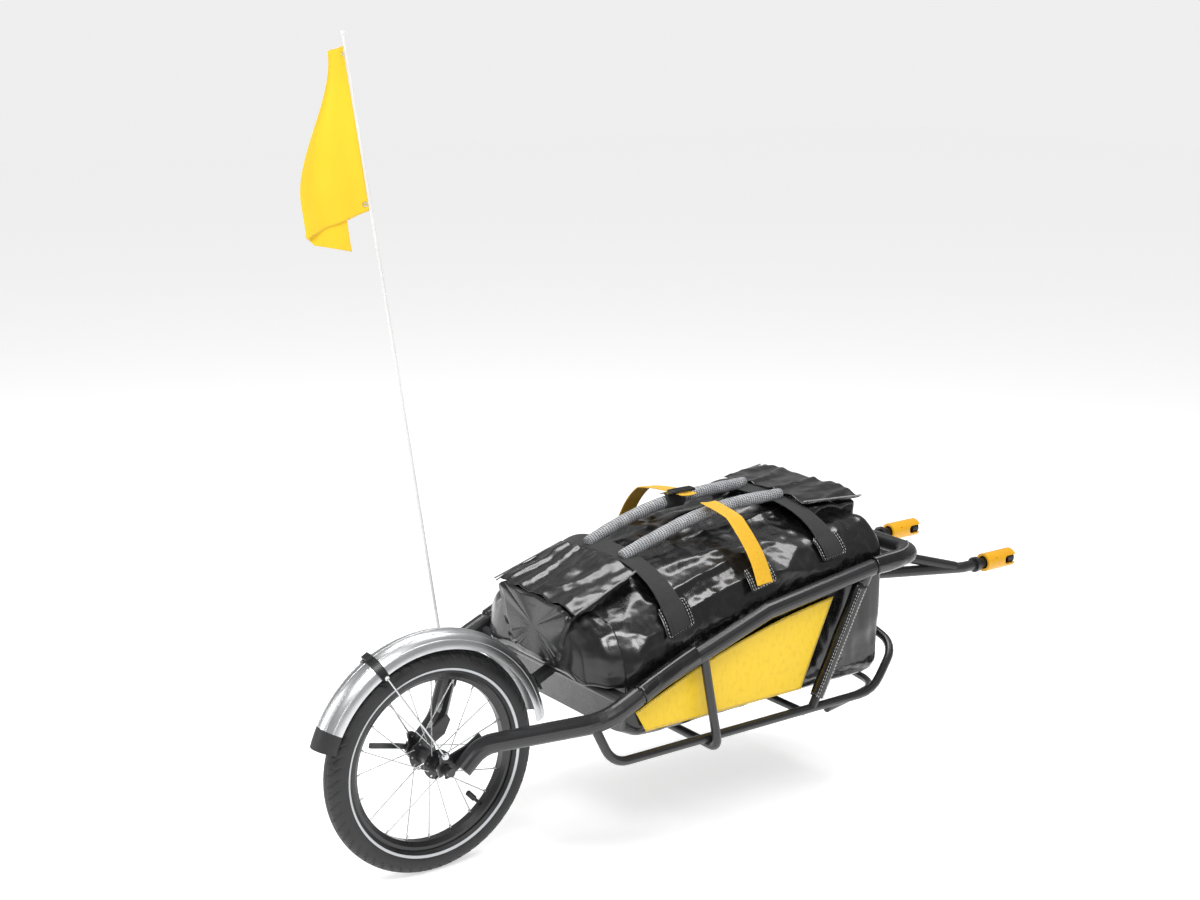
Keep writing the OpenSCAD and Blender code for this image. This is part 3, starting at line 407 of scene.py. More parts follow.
# ---------- mesh helpers ----------
def piece(name, points, faces, body, slot, material=None, uvs=None, smooth=True):
    mesh = bpy.data.meshes.new(name)
    mesh.from_pydata([tuple(p) for p in points], [], faces)
    mesh.validate()
    if uvs is not None:
        layer = mesh.uv_layers.new(name="UVMap")
        for loop in mesh.loops:
            layer.data[loop.index].uv = uvs[loop.vertex_index]
    mesh.materials.append(material or FINISH[slot])
    for polygon in mesh.polygons:
        polygon.use_smooth = smooth
    obj = bpy.data.objects.new(name, mesh)
    scene.collection.objects.link(obj)
    work = bmesh.new()
    work.from_mesh(mesh)
    bmesh.ops.recalc_face_normals(work, faces=work.faces)
    work.to_mesh(mesh)
    work.free()
    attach(obj, body)
    return obj


def modifier(obj, kind, **values):
    m = obj.modifiers.new(kind.lower(), kind)
    for key, value in values.items():
        setattr(m, key, value)
    return m


def lofted(name, rings, body, slot, material=None, caps=4, closed=True):
    """A tube of rings, each with the same count, closed at both ends by shrinking rings; UVs in metres."""
    count = len(rings[0])
    rings = [list(r) for r in rings]
    if caps:
        for end, step in ((0, 1), (-1, -1)):
            ring = rings[end]
            centre = sum(ring, Vector()) / count
            inner = [[centre + (p - centre) * (1 - (k + 1) / (caps + 0.3)) for p in ring]
                     for k in range(caps)]
            rings = (inner[::-1] + rings) if end == 0 else (rings + inner)
    points = [p for ring in rings for p in ring]
    along = 0
    uvs = []
    for i, ring in enumerate(rings):
        if i:
            along += (ring[0] - rings[i - 1][0]).length
        around = 0
        for j, p in enumerate(ring):
            if j:
                around += (p - ring[j - 1]).length
            uvs.append((around, along))
    faces = []
    for i in range(len(rings) - 1):
        for j in range(count if closed else count - 1):
            k = (j + 1) % count
            faces.append((i * count + j, i * count + k, (i + 1) * count + k, (i + 1) * count + j))
    if caps:
        faces.append(tuple(range(count - 1, -1, -1)))
        faces.append(tuple((len(rings) - 1) * count + j for j in range(count)))
    return piece(name, points, faces, body, slot, material, uvs)


def ribbon(name, rows, thick, body, slot, material=None, subdivide=1):
    """A strap through rows of points across it, given a thickness; UVs in metres."""
    obj = lofted(name, rows, body, slot, material, caps=0, closed=False)
    modifier(obj, "SOLIDIFY", thickness=thick, offset=0)
    if subdivide:
        modifier(obj, "SUBSURF", levels=subdivide, render_levels=subdivide)
    return obj


def sweep(name, path, radius, body, slot, material=None, sides=12, caps=2):
    """A round tube along a path of points."""
    rings = []
    side = None
    for i, p in enumerate(path):
        heading = (path[min(i + 1, len(path) - 1)] - path[max(i - 1, 0)]).normalized()
        if side is None:
            side = heading.orthogonal().normalized()
        side = (side - heading * side.dot(heading)).normalized()
        other = heading.cross(side)
        r = radius(i / (len(path) - 1)) if callable(radius) else radius
        rings.append([p + (side * math.cos(a) + other * math.sin(a)) * r
                      for a in (math.tau * k / sides for k in range(sides))])
    return lofted(name, rings, body, slot, material, caps=caps)


def stitches(name, path, body, pitch=0.0062, length=0.0042, radius=0.00055, material=None,
             slot="webbing_black"):
    """A row of raised thread stitches along a path, all in one piece."""
    points, faces = [], []
    lengths = [0.0]
    for a, b in zip(path, path[1:]):
        lengths.append(lengths[-1] + (b - a).length)

    def place(s):
        for i in range(len(path) - 1):
            if s <= lengths[i + 1] or i == len(path) - 2:
                t = (s - lengths[i]) / max(1e-9, lengths[i + 1] - lengths[i])
                return path[i].lerp(path[i + 1], t)

    total = lengths[-1]
    count = max(1, int(total / pitch))
    for k in range(count):
        a = place(k * pitch)
        b = place(min(total, k * pitch + length))
        heading = (b - a).normalized()
        side = heading.orthogonal().normalized()
        other = heading.cross(side)
        base = len(points)
        for t, r in ((0, 0.35), (0.25, 1.0), (0.75, 1.0), (1, 0.35)):
            centre = a.lerp(b, t)
            points.extend(centre + (side * math.cos(q) + other * math.sin(q)) * radius * r
                          for q in (math.tau * j / 6 for j in range(6)))
        for i in range(3):
            for j in range(6):
                m = (j + 1) % 6
                faces.append((base + i * 6 + j, base + i * 6 + m, base + (i + 1) * 6 + m,
                              base + (i + 1) * 6 + j))
        faces.append(tuple(base + j for j in range(5, -1, -1)))
        faces.append(tuple(base + 18 + j for j in range(6)))
    return piece(name, points, faces, body, slot, material or THREAD)


# ---------- shapes shared with the CAD ----------
LOOP_Z = 221
RAIL_START = (262, 329)
RAIL_KNEE = (262 + 300 * math.cos(math.radians(23.5)), 329 + 300 * math.sin(math.radians(23.5)))
RAIL_HALF_W = 237
RAIL_R = 15
FRONT_X = 906
CORNER_Z = RAIL_KNEE[1] + (FRONT_X - RAIL_KNEE[0]) * math.tan(math.radians(3))
BEND_R = 1500


def rail_z(x):
    """Height of the rail's axis above the floor, x mm forward of the axle."""
    steep, gentle = math.radians(23.5), math.radians(3)
    reach = BEND_R * math.tan((steep - gentle) / 2)
    start = (RAIL_KNEE[0] - reach * math.cos(steep), RAIL_KNEE[1] - reach * math.sin(steep))
    end_x = RAIL_KNEE[0] + reach * math.cos(gentle)
    centre = (start[0] + BEND_R * math.sin(steep), start[1] - BEND_R * math.cos(steep))
    if x < start[0]:
        return RAIL_START[1] + (x - RAIL_START[0]) * math.tan(steep)
    if x > end_x:
        return CORNER_Z + (x - FRONT_X) * math.tan(gentle)
    return centre[1] + math.sqrt(BEND_R ** 2 - (x - centre[0]) ** 2)


UNDER_Z = 230
CROSS_Z = 328
OUTLINE = (
    (214, 118, CROSS_Z + 20, 436), (220, 150, CROSS_Z + 4, 450), (240, 186, CROSS_Z, 462),
    (266, 200, CROSS_Z, 472),
    (267, 200, UNDER_Z + 12, 472.5), (290, 213, UNDER_Z + 2, 478), (336, 219, UNDER_Z, 488),
    (406, 219, UNDER_Z, 503),
    (506, 219, UNDER_Z, 522), (606, 219, UNDER_Z, 536), (706, 219, UNDER_Z, 548), (795, 219, UNDER_Z, 560),
    (833, 215, UNDER_Z + 2, 560), (849, 201, UNDER_Z + 14, 546), (855, 175, UNDER_Z + 40, 520),
)


def outline_at(x):
    """Half width, underside and top of the bag, x mm forward of the axle."""
    for a, b in zip(OUTLINE, OUTLINE[1:]):
        if x <= b[0] or b is OUTLINE[-1]:
            t = max(0.0, min(1.0, (x - a[0]) / (b[0] - a[0])))
            return [a[k] * (1 - t) + b[k] * t for k in (1, 2, 3)]


def power(c, n):
    return math.copysign(abs(c) ** (2 / n), c)


DOME_N = 2.4
SIDE_N = 9


def bag_point(x, angle, lift=0.0):
    """A point in mm on the bag's skin by the angle in degrees round its section."""
    half, under, top = outline_at(x)
    side_z = max(under + 24, min(rail_z(x), top - 30))
    c, s = math.cos(math.radians(angle)), math.sin(math.radians(angle))
    y = (half + lift) * power(c, DOME_N if s > 0 else SIDE_N)
    z = side_z + ((top + lift - side_z) * power(s, DOME_N) if s > 0 else (side_z - under) * power(s,
        SIDE_N))
    return x, y, z


def bag_top(x, y):
    half, _, top = outline_at(x)
    side = rail_z(x)
    return side + (top - side) * (1 - min(1, abs(y) / half) ** DOME_N) ** (1 / DOME_N)


def smooth(t):
    t = max(0.0, min(1.0, t))
    return t * t * (3 - 2 * t)


def ridged(p, scale, seed):
    """Sharp crests between soft hollows, from 0 to 1."""
    q = Vector((p[0] / scale[0] + seed, p[1] / scale[1] - seed, p[2] / scale[2] + 2 * seed))
    return 1 - min(1.0, abs(noise.noise(q)) * 2.6)


def creased(x, y, z):
    """How far the bag's skin stands off its smooth shape, in mm."""
    p = Vector((x, y, z))
    on_top = smooth((z - rail_z(x) + 6) / 50)
    between = smooth((x - 330) / 50) * smooth((760 - x) / 50)
    long_folds = ridged(p, (260, 38, 200), 3.1) * 7 * on_top * between
    cross = ridged(p, (90, 140, 110), 7.7) * 5.0
    small = ridged(p, (34, 46, 40), 1.9) * 2.0
    tiny = ridged(p, (15, 20, 18), 5.3) * 0.7
    return long_folds + cross + small + tiny - 7.5 - 3.0 * on_top * between


def make_bag():
    """The bag's shell: one lofted skin, sagging between its ends, with its creases in the mesh."""
    step = 5
    count = 224
    stations = sorted(set([214.0, 215.5, 218, 222, 228, 266.0, 268.5, 850, 853, 855] + [float(x)
        for x in range(234, 849, step)]))
    rings = []
    for x in stations:
        ring = []
        for j in range(count):
            angle = 360 * j / count
            px, py, pz = bag_point(x, angle)
            half, under, top = outline_at(x)
            side = rail_z(x)
            push = creased(px, py, pz)
            outward = Vector((0, py / half,
                              (pz - (side if pz > side else (side + under) / 2)) / 90)).normalized()
            fade = smooth((x - 214) / 14) * smooth((856 - x) / 10)
            if pz < under + 18:
                push = min(push, 0) * 0.3
            # the skin sinks beside the two end folds and along the shoulders next to the rails
            valley = 9 * math.exp(-((abs(py) - 128) / 26) ** 2) * smooth((pz - side) / 30)
            valley *= smooth((350 - x) / 60) + smooth((x - 720) / 60)
            tuck = 5 * math.exp(-((abs(py) - 196) / 18) ** 2) * smooth((pz - side + 20) / 30)
            limit = 1.5 if abs(py) > 200 and pz < side + 25 else 6
            move = max(-14, min(limit, push * (0.35 + 0.65 * fade)))
            q = Vector((px, py, pz)) + outward * move
            q.z -= valley + tuck * 0.4
            ring.append(at(*q))
        rings.append(ring)
    bag = lofted("bag_shell", rings, "frame", "tarpaulin_black", caps=5)
    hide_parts("dry_bag")


def slab(name, rear, front, depth, corner_n=7, seed=0.0, droop=0.0, wrinkle=2.0, caps=6, crown=3.0):
    """A folded end of the bag, lofted between (x, top half width, bottom half width, top z) stations."""
    rings = []
    steps = 36
    count = 144
    for i in range(steps + 1):
        t = i / steps
        x = rear[0] + (front[0] - rear[0]) * t
        wide, narrow, top = (rear[k] + (front[k] - rear[k]) * t for k in (1, 2, 3))
        low = top - (depth[0] + (depth[1] - depth[0]) * t)
        ring = []
        for j in range(count):
            a = math.tau * j / count
            v = power(math.sin(a), corner_n)
            half = narrow + (wide - narrow) * (v + 1) / 2
            y = half * power(math.cos(a), corner_n)
            z = (top + low) / 2 + (top - low) / 2 * v
            upper = smooth((z - low) / (top - low) * 2 - 1)
            z += upper * crown * math.cos(math.pi * y / (2 * half))
            z -= upper * droop * smooth(abs(y) / half * 2 - 1) * (1 - 0.5 * t)
            p = (x, y, z)
            push = (ridged(p, (70, 60, 50), 4.4 + seed) - 0.75) * wrinkle * 2 + (ridged(p, (26, 22, 30),
                2.2 + seed) - 0.75) * wrinkle * 0.7
            out = Vector((0, y / half, (z - (top + low) / 2) / ((top - low) / 2))).normalized()
            q = Vector(p) + out * push
            q.x += (ridged((x, y, z), (400, 34, 60),
                           8.1 + seed) - 0.7) * 4 * (smooth(1 - t * 8) - smooth(t * 8 - 7))
            ring.append(at(*q))
        rings.append(ring)
    obj = lofted(name, rings, "frame", "tarpaulin_black", caps=caps)
    return obj


def make_folds():
    """The two rolled ends: boxy folds with a lid whose edge stands proud, and grey piping along each lid
    edge as a painted highlight there.
    """
    slab("rear_fold", (214, 121, 74, 452), (344, 109, 104, 497), (112, 66), seed=0.3, wrinkle=3.0)
    slab("front_fold", (735, 108, 112, 556), (838, 136, 128, 560), (30, 52), seed=1.7, wrinkle=2.6)
    for name, rear, front, drop in (("rear_lid", (213, 125, 453), (350, 112, 502), 0.0),
                                    ("front_lid", (731, 112, 566), (847, 143, 568), 2.0)):
        rows = []
        steps = 26
        for i in range(steps + 1):
            t = i / steps
            x = rear[0] + (front[0] - rear[0]) * t
            half = rear[1] + (front[1] - rear[1]) * t
            top = rear[2] + (front[2] - rear[2]) * t
            row = []
            for j in range(45):
                s = j / 22 - 1
                y = half * s
                z = top + 5.0 * math.cos(math.pi * s / 2) + 1.5
                z += (ridged((x, y, z), (120, 42, 60), 6.0 + drop) - 0.6) * 6.5
                z += (ridged((x, y, z), (30, 26, 60), 9.0 + drop) - 0.6) * 1.6
                z -= 3.5 * smooth(abs(s) * 5 - 4)
                x_out = x + drop * math.sin(s * 9) * (t > 0.9)
                row.append(at(x_out, y, z))
            rows.append(row)
        lid = ribbon(name, rows, 0.0022, "frame", "tarpaulin_black", subdivide=1)
        # grey piping on each lid edge: a painted highlight where the edge catches the light
        for side in (-1, 1):
            path = [at(rear[0] + (front[0] - rear[0]) * k / 20,
                       side * (rear[1] + (front[1] - rear[1]) * k / 20 + 0.4),
                       rear[2] + (front[2] - rear[2]) * k / 20 - 1.6) for k in range(21)]
            tag = "left" if side > 0 else "right"
            sweep(f"{name}_piping_{tag}", path, 0.0016, "frame", "tarpaulin_black", PIPING_HIGHLIGHT_AND_STITCH, sides=8)


def make_patches():
    """Rounded reinforcement patches sewn on under each strap, each with a double row of stitches."""
    first = True
    for x0, name in ((372, "rear"), (555, "middle"), (720, "front")):
        for mirror, tag in ((1, "left"), (-1, "right")):
            low, high = (14, 38) if name != "middle" else (14, 35)
            half = 30
            rows, edge, inner = [], [], []
            for i in range(25):
                a = low + (high - low) * i / 24
                round_off = math.sqrt(max(0, 1 - max(0, abs(2 * i / 24 - 1) - 0.72) ** 2 / 0.28 ** 2))
                w = half * (0.72 + 0.28 * round_off)
                row = []
                for j in range(13):
                    s = j / 6 - 1
                    px, py, pz = bag_point(x0 + w * s, a, 2.4)
                    row.append(at(px, mirror * py, pz))
                rows.append(row)
            patch = ribbon(f"patch_{name}_{tag}", rows, 0.002, "frame", "tarpaulin_black", subdivide=1)
            if first:
                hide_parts("handle_patches")
                first = False
            for inset, row_name in ((4.5, "outer"), (9, "inner")):
                path = []
                for i in range(40):
                    t = i / 39
                    if t < 0.3:
                        sx, a = -1, high - (high - low - 2) * t / 0.3
                    elif t < 0.7:
                        sx, a = -1 + 2 * (t - 0.3) / 0.4, low + 2
                    else:
                        sx, a = 1, low + 2 + (high - low - 2) * (t - 0.7) / 0.3
                    a = max(low + inset * 0.3, a)
                    px, py, pz = bag_point(x0 + (half - inset) * sx, a, 4.0)
                    path.append(at(px, mirror * py, pz))
                stitches(f"patch_{name}_{tag}_{row_name}_stitch", path, "frame")


def strap_row(x, half, angle, lift, twist=0.0, mirror=1, across=9):
    row = []
    for j in range(across):
        s = 2 * j / (across - 1) - 1
        px, py, pz = bag_point(x + half * s, angle, lift + twist * s)
        row.append(at(px, mirror * py, pz))
    return row


def make_straps():
    """The two webbing straps arch from patch to patch over the ends of the grips."""
    first = True
    for x0, name, rise in ((372, "rear", 9), (720, "front", 8)):
        rows = []
        steps = 72
        for i in range(steps + 1):
            t = i / steps
            a = 16 + 148 * t
            arch = math.sin(math.pi * max(0.0, min(1.0, (t - 0.14) / 0.72))) ** 0.8
            twist = 5 * math.sin(math.pi * 2 * t) * arch
            rows.append(strap_row(x0 + 3 * math.sin(5 * t), 20, a, 5.2 + rise * arch, twist))
        strap = ribbon(f"handle_strap_{name}", rows, 0.0022, "frame", "webbing_black")
        if first:
            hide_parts("handle_straps")
            first = False
        for side, tag in ((0, "left"), (1, "right")):
            for k, offset in enumerate((-17, 17)):
                path = []
                for i in range(12):
                    a = 17.5 + 13 * i / 11
                    px, py, pz = bag_point(x0 + offset, a, 6.9)
                    path.append(at(px, -py if side else py, pz))
                stitches(f"handle_strap_{name}_{tag}_stitch_{k}", path, "frame",
                         material=FINISH["webbing_black"])


def make_grips():
    """Two knitted tube grips between the straps, a little thinner towards each end."""
    for side, tag in ((1, "left"), (-1, "right")):
        path = []
        for i in range(49):
            t = i / 48
            x = 364 + 364 * t
            z = bag_top(x, 52) + 11 + 6.2 + 15 * math.sin(math.pi * t)
            path.append(at(x, side * (52 + 3 * math.sin(2 * math.pi * t)), z))
        radius = lambda t: (11.2 - 0.9 * abs(2 * t - 1) ** 6 + 0.25 * math.sin(60 * t)) * MM
        grip = sweep(f"grip_{tag}", path, radius, "frame", "grip_mesh", sides=40, caps=3)
        if side == 1:
            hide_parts("handle_grips")


def centre_rise(a):
    return 2.6 + 46 * max(0.0, min(1.0, (90 - abs(a - 90)) / 42 - 0.55)) ** 1.5


def make_centre_strap():
    """Yellow strap from a patch on each side up and over the grips to the buckle."""
    for mirror, tag, last in ((-1, "right", 82), (1, "left", 90)):
        rows = []
        for i in range(53):
            a = 17 + (last - 17) * i / 52
            wave = 2.5 * math.sin((a - 17) / 65 * math.pi * 2)
            px, py, pz = bag_point(555, a, centre_rise(a) + 2.4)
            row = []
            for j in range(9):
                s = j / 4 - 1
                row.append(at(555 + 18 * s + wave, mirror * py, pz + 1.2 * math.sin(s * 2 + a / 20)))
            rows.append(row)
        strap = ribbon(f"centre_strap_{tag}", rows, 0.0022, "frame", "strap_yellow")
        if tag == "right":
            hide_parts("centre_strap")
        path = [at(555 + d, mirror * bag_point(555, 19, 0)[1], bag_point(555, 19, 6.6)[2])
                for d in (-15, -5, 5, 15)]
        stitches(f"centre_strap_{tag}_stitch", path, "frame", material=FINISH["strap_yellow"],
                 slot="strap_yellow")


def bar(name, a, b, radius, body, slot, material=None, squash_n=2.0, count=20):
    """A straight bar with a rounded section."""
    steps = 10
    heading = (b - a).normalized()
    side = heading.cross(Vector((0, 0, 1))).normalized()
    up = side.cross(heading)
    rings = []
    for i in range(steps + 1):
        t = i / steps
        swell = 1 - 0.18 * abs(2 * t - 1) ** 8
        rings.append([a.lerp(b, t) + (side * power(math.cos(q),
                                                   squash_n) * radius[0] + up * power(math.sin(q),
                                                       squash_n) * radius[1])
                      * swell for q in (math.tau * k / count for k in range(count))])
    return lofted(name, rings, body, slot, material, caps=3)


def make_buckle():
    """A black ladder buckle where the two strap ends meet, with a hook-and-loop wrap round the far grip."""
    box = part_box("strap_buckle")
    low, high = box
    z = (low.z + high.z) / 2
    y = (low.y + high.y) / 2
    first = True
    for k, dy in enumerate((-0.008, 0.0, 0.008)):
        rail = bar(f"buckle_bar_{k}", Vector((low.x + 0.002, y + dy, z)),
                   Vector((high.x - 0.002, y + dy, z)), (0.0022, 0.0026),
                   "frame", "black_plastic", squash_n=3)
        if first:
            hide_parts("strap_buckle")
            first = False
    for k, x in enumerate((low.x + 0.003, high.x - 0.003)):
        bar(f"buckle_side_{k}", Vector((x, low.y, z)), Vector((x, high.y, z)), (0.003, 0.003), "frame",
            "black_plastic", squash_n=3)
    rows = []
    centre = at(555, 52, bag_top(555, 52) + 11 + 6.2 + 15)
    for i in range(41):
        a = math.radians(-200 + 240 * i / 40)
        r = 0.0136 + 0.0016 * i / 40
        row = []
        for j in range(9):
            s = j / 4 - 1
            row.append(Vector((centre.x + 0.021 * s, centre.y + math.sin(a) * r,
                               centre.z + math.cos(a) * r * 0.98)))
        rows.append(row)
    ribbon("grip_wrap", rows, 0.0016, "frame", "webbing_black", HOOK_TAPE)
    rows = []
    for i in range(9):
        a = math.radians(-28 + 40 * i / 8)
        rows.append([Vector((centre.x - 0.016 + 0.032 * j / 8, centre.y + math.sin(a) * 0.0162,
                             centre.z + math.cos(a) * 0.0160))
                     for j in range(9)])
    ribbon("wrap_label", rows, 0.0008, "frame", "strap_yellow", LABEL)


def tube_frame(path):
    """For each point of a path, its heading, the outward side and the upward side."""
    out = []
    for i, p in enumerate(path):
        heading = (path[min(i + 1, len(path) - 1)] - path[max(i - 1, 0)]).normalized()
        up = (Vector((0, 0, 1)) - heading * heading.z).normalized()
        out.append((p, heading, up.cross(heading), up))
    return out


def make_rail_wraps():
    """Tarpaulin sleeves round the rails, a little loose, with grey piping along the top as a painted
    highlight, and a row of stitches along the lower side.
    """
    first = True
    corner_r = 60
    for side, tag in ((1, "left"), (-1, "right")):
        rear = [at(x, side * RAIL_HALF_W, rail_z(x)) for x in range(268, 386, 4)]
        front = [at(x, side * RAIL_HALF_W, rail_z(x)) for x in range(793, FRONT_X - corner_r + 1, 4)]
        for k in range(1, 11):
            a = math.radians(90 * k / 10)
            x = FRONT_X - corner_r + corner_r * math.sin(a)
            front.append(at(x, side * (RAIL_HALF_W - corner_r + corner_r * math.cos(a)), rail_z(x)))
        front = front[:-3]
        for path, where in ((rear, "rear"), (front, "front")):
            rings, lines = [], {"top": [], "end": []}
            for i, (p, heading, out, up) in enumerate(tube_frame(path)):
                sway = Vector(out) * (1 if side < 0 else -1)
                ring = []
                for j in range(40):
                    a = math.tau * j / 40
                    pleat = ridged((p.x * 1000, j * 6, 0), (60, 18, 10), 2.0 + side) * 0.9
                    r = (RAIL_R + 1.6 + pleat) * MM
                    flap = math.exp(-((a - 0.62 * math.pi) / 0.2) ** 2) * 1.2 * MM
                    ring.append(p + (sway * math.cos(a) + up * math.sin(a)) * (r + flap))
                rings.append(ring)
                a = 0.62 * math.pi
                lines["top"].append(p + (sway * math.cos(a) + up * math.sin(a)) * (RAIL_R + 3.4) * MM)
            wrap = lofted(f"rail_wrap_{where}_{tag}", rings, "frame", "tarpaulin_black", caps=0)
            modifier(wrap, "SOLIDIFY", thickness=0.0012, offset=-1)
            if first:
                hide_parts("rail_wraps")
                first = False
            # grey piping along the sleeve's top: a painted highlight where the top catches the light
            sweep(f"rail_wrap_{where}_{tag}_piping", lines["top"], 0.0013, "frame", "tarpaulin_black",
                  PIPING_HIGHLIGHT_AND_STITCH, sides=8)
            low_line = []
            for p, heading, out, up in tube_frame(path):
                sway = Vector(out) * (1 if side < 0 else -1)
                a = -0.2 * math.pi
                low_line.append(p + (sway * math.cos(a) + up * math.sin(a)) * (RAIL_R + 3.0) * MM)
            stitches(f"rail_wrap_{where}_{tag}_stitch", low_line, "frame", slot="tarpaulin_black",
                     material=PIPING_HIGHLIGHT_AND_STITCH, radius=0.0004)


STRUT_FOOT = (654, LOOP_Z)
STRUT_TOP = (778, CORNER_Z - 6)


def make_strut_wraps():
    """Flat stitched sleeves on the two slanted struts, with a cuff at the top of each."""
    first = True
    for side, tag in ((1, "left"), (-1, "right")):
        foot = at(STRUT_FOOT[0], side * RAIL_HALF_W, STRUT_FOOT[1])
        top = at(STRUT_TOP[0], side * RAIL_HALF_W, STRUT_TOP[1])
        path = [foot.lerp(top, 0.08 + 0.80 * k / 30) for k in range(31)]
        heading = (top - foot).normalized()
        across = heading.cross(Vector((0, side, 0))).normalized()
        out = Vector((0, side, 0))
        rings = []
        for i, p in enumerate(path):
            t = i / 30
            wide = 11.5 + 2.5 * t + 0.7 * math.sin(14 * t)
            rings.append([p + (across * power(math.cos(a), 2.6) * wide + out * power(math.sin(a),
                2.6) * 10.4) * MM
                          for a in (math.tau * k / 36 for k in range(36))])
        wrap = lofted(f"strut_wrap_{tag}", rings, "frame", "tarpaulin_black", caps=0)
        modifier(wrap, "SOLIDIFY", thickness=0.0012, offset=-1)
        if first:
            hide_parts("strut_wraps")
            first = False
        for k, s in enumerate((-1, -0.62, 0.62, 1)):
            line = [p + (across * s * 8.6 + out * (9.4 if abs(s) == 1 else 10.9)) * MM for p in path]
            stitches(f"strut_wrap_{tag}_stitch_{k}", line, "frame", slot="tarpaulin_black")
        band = []
        for i in range(11):
            p = top - heading * (0.030 - 0.0024 * i)
            band.append([p + (across * power(math.cos(a), 2.6) * 15 + out * power(math.sin(a),
                2.6) * 11.2) * MM
                         for a in (math.tau * k / 36 for k in range(36))])
        cuff = lofted(f"strut_cuff_{tag}", band, "frame", "tarpaulin_black", caps=0)
        modifier(cuff, "SOLIDIFY", thickness=0.0012, offset=-1)


def make_side_panels():
    """Coloured fabric panels on the bag's sides, slightly slack, with a stitched edge."""
    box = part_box("side_panels")
    rear_x, front_foot, front_top = 271 + 22, 640, 712
    first = True
    for side, tag in ((1, "left"), (-1, "right")):
        rows = []
        edge_top, edge_low = [], []
        for i in range(61):
            t = i / 60
            row = []
            for j in range(31):
                s = j / 30
                low_x = rear_x + (front_foot - rear_x) * t
                high_x = 271 + (front_top - 271) * t
                x = low_x + (high_x - low_x) * s
                low_z = LOOP_Z + 34
                high_z = rail_z(high_x) - RAIL_R - 24
                z = low_z + (high_z - low_z) * s
                slack = 1.2 * noise.noise(Vector((x / 70, z / 50,
                                                  side * 3))) + 0.6 * noise.noise(Vector((x / 24,
                                                      z / 30, 5)))
                slack *= min(1, 6 * min(t, 1 - t), 6 * min(s, 1 - s))
                row.append(at(x, side * (220.9 + slack), z))
            rows.append(row)
            edge_top.append(row[-1] + Vector((0, side * 0.0016, -0.003)))
            edge_low.append(row[0] + Vector((0, side * 0.0016, 0.003)))
        panel = ribbon(f"side_panel_{tag}", rows, 0.0018, "frame", "panel_yellow", subdivide=0)
        if first:
            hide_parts("side_panels")
            first = False
        front = [rows[-1][j] + Vector((-0.003, side * 0.0016, 0)) for j in range(1, 30)]
        for name, line in (("top", edge_top), ("low", edge_low), ("front", front)):
            stitches(f"side_panel_{tag}_stitch_{name}", line, "frame", slot="panel_yellow", radius=0.0004)


def pole_axes():
    """The pole's direction and the direction square to it, rearwards."""
    low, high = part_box("flag_pole")
    lean = math.radians(8.7)
    along = Vector((-math.sin(lean), 0, math.cos(lean)))
    back = Vector((-math.cos(lean), 0, -math.sin(lean)))
    tip = Vector((low.x, (low.y + high.y) / 2, high.z))
    tip -= back * (high.x - low.x) * 0
    return along, back


def make_flag():
    """A pennant of thin cloth that hangs from the pole, its free end folded round on itself."""
    along, back = pole_axes()
    low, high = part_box("flag_pole")
    lean = math.radians(8.7)
    r = 0.0039
    tip = Vector((low.x + r * math.cos(lean), (low.y + high.y) / 2, high.z - r * math.sin(lean)))
    top = tip - along * 0.024
    rows = []
    luff = 0.270
    for i in range(61):
        v = i / 60
        row = []
        for j in range(41):
            u = j / 40
            width = 0.026 + 0.092 * smooth(v * 1.25) + 0.006 * v
            down = luff * v + 0.004 * u
            out = width * u
            drop = 0.016 * u * v
            depth = 0.0055 * math.sin(u * 5.4 + v * 2.2) * u + 0.0025 * math.sin(u * 12 + 3 * v) * v
            p = top - along * (down + drop) + back * (out + r) + Vector((0, -1, 0)) * depth
            row.append(p)
        rows.append(row)
    main = ribbon("flag_sail", rows, 0.0006, "flag_staff", "flag_yellow", subdivide=0)
    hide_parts("flag")
    # the lower corner of the free edge, turned back under the sail
    rows = []
    start = top - along * (luff + 0.016) + back * (0.122 + r)
    inner = top - along * (luff - 0.002) + back * (0.042 + r)
    for i in range(25):
        v = i / 24
        row = []
        for j in range(25):
            u = j / 24
            p = start.lerp(inner, u)
            p -= along * (0.062 * v * (0.30 + 0.70 * u)) - back * (-0.014 * v * (1 - u))
            p += Vector((0, 1, 0)) * (0.0045 * math.sin(math.pi * u) * (1 - v) + 0.002
                                      * math.sin(7 * u) * v + 0.0022)
            row.append(p)
        rows.append(row)
    tail = ribbon("flag_tail", rows, 0.0006, "flag_staff", "flag_yellow", subdivide=0)
    for k, drop in enumerate((0.012, 0.258)):
        centre = top - along * drop + back * (r + 0.006) + Vector((0, -0.0004, 0))
        rings = []
        for i in range(25):
            q = math.tau * i / 24
            mid = centre + (back * math.cos(q) + along * math.sin(q)) * 0.0034
            outward = (mid - centre).normalized()
            rings.append([mid + (outward * math.cos(w) + Vector((0, 1, 0)) * math.sin(w)) * 0.0011
                          for w in (math.tau * m / 10 for m in range(10))])
        lofted(f"grommet_{k}", rings, "flag_staff", "steel", caps=0)


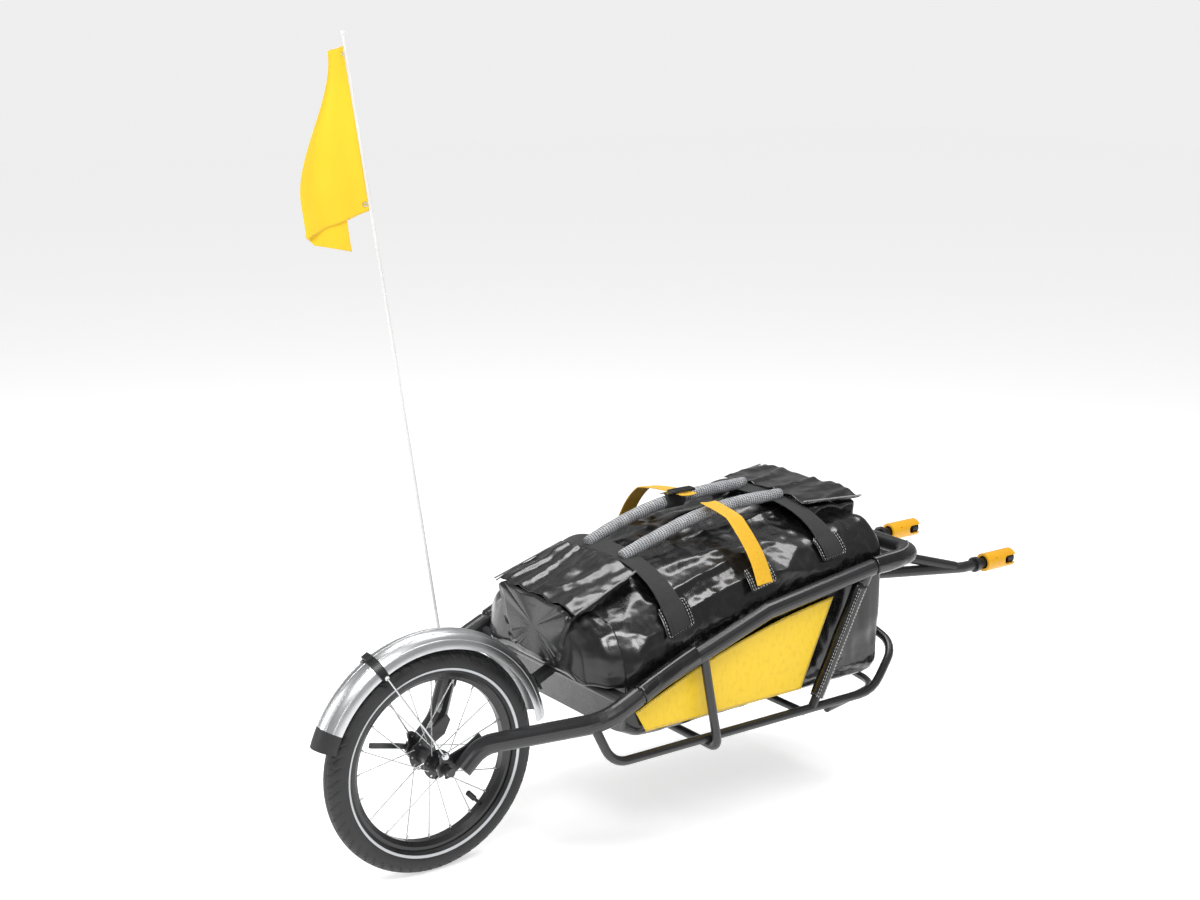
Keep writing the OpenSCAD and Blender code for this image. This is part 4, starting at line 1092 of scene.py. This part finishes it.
def make_tyre():
    """The tyre with its shoulder grooves and centre ribs cut into the mesh."""
    section_r, centre_r = 23.5, 176
    segments = 900
    half = 30
    pitch = math.tau / 60
    points, faces = [], []
    profile = []
    for j in range(2 * half + 1):
        phi = math.radians(-142 + 284 * j / (2 * half))
        profile.append(phi)
    inner = [(-math.radians(142), 0.90), (math.radians(142), 0.90)]
    count = len(profile) + len(inner)
    for i in range(segments):
        theta = math.tau * i / segments
        for phi in profile:
            side = abs(phi)
            depth = 0.0
            if side < math.radians(70):
                rib = min(abs(abs(math.degrees(phi)) - 11), abs(abs(math.degrees(phi)) - 11.01))
                depth = max(depth, 1.5 * smooth(1 - rib / 3.2))
            if math.radians(16) < side < math.radians(74):
                sweep_back = (side - math.radians(16)) * 0.11
                phase = ((theta + sweep_back + (pitch / 2 if phi > 0 else 0)) % pitch) / pitch
                fade = smooth((side - math.radians(16)) / 0.12) * smooth((math.radians(74) - side) / 0.2)
                groove = smooth(1 - abs(phase - 0.5) / 0.12)
                depth = max(depth, 2.0 * groove * fade)
            if math.radians(28) < side < math.radians(48):
                phase = ((theta + 0.5 * pitch) % (pitch / 2)) / (pitch / 2)
                depth = max(depth, 1.0 * smooth(1 - abs(phase - 0.5) / 0.12)
                            * smooth((math.radians(48) - side) / 0.1))
            r = section_r + 0.3 - depth
            radial = centre_r + r * math.cos(phi)
            points.append(Vector((AXLE.x + radial * MM * math.cos(theta), -r * MM * math.sin(phi),
                                  AXLE.z + radial * MM * math.sin(theta))))
        for phi, k in inner:
            radial = centre_r + section_r * k * math.cos(phi)
            points.append(Vector((AXLE.x + radial * MM * math.cos(theta),
                                  -section_r * k * MM * math.sin(phi),
                                  AXLE.z + radial * MM * math.sin(theta))))
    for i in range(segments):
        n = (i + 1) % segments
        order = list(range(len(profile))) + [count - 1, count - 2]
        for a, b in zip(order, order[1:] + order[:1]):
            faces.append((i * count + a, i * count + b, n * count + b, n * count + a))
    tyre = piece("tyre_tread", points, faces, "wheel", "tyre")
    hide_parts("tyre")


make_bag()
make_folds()
make_patches()
make_straps()
make_grips()
make_centre_strap()
make_buckle()
make_rail_wraps()
make_strut_wraps()
make_side_panels()
make_flag()
make_tyre()
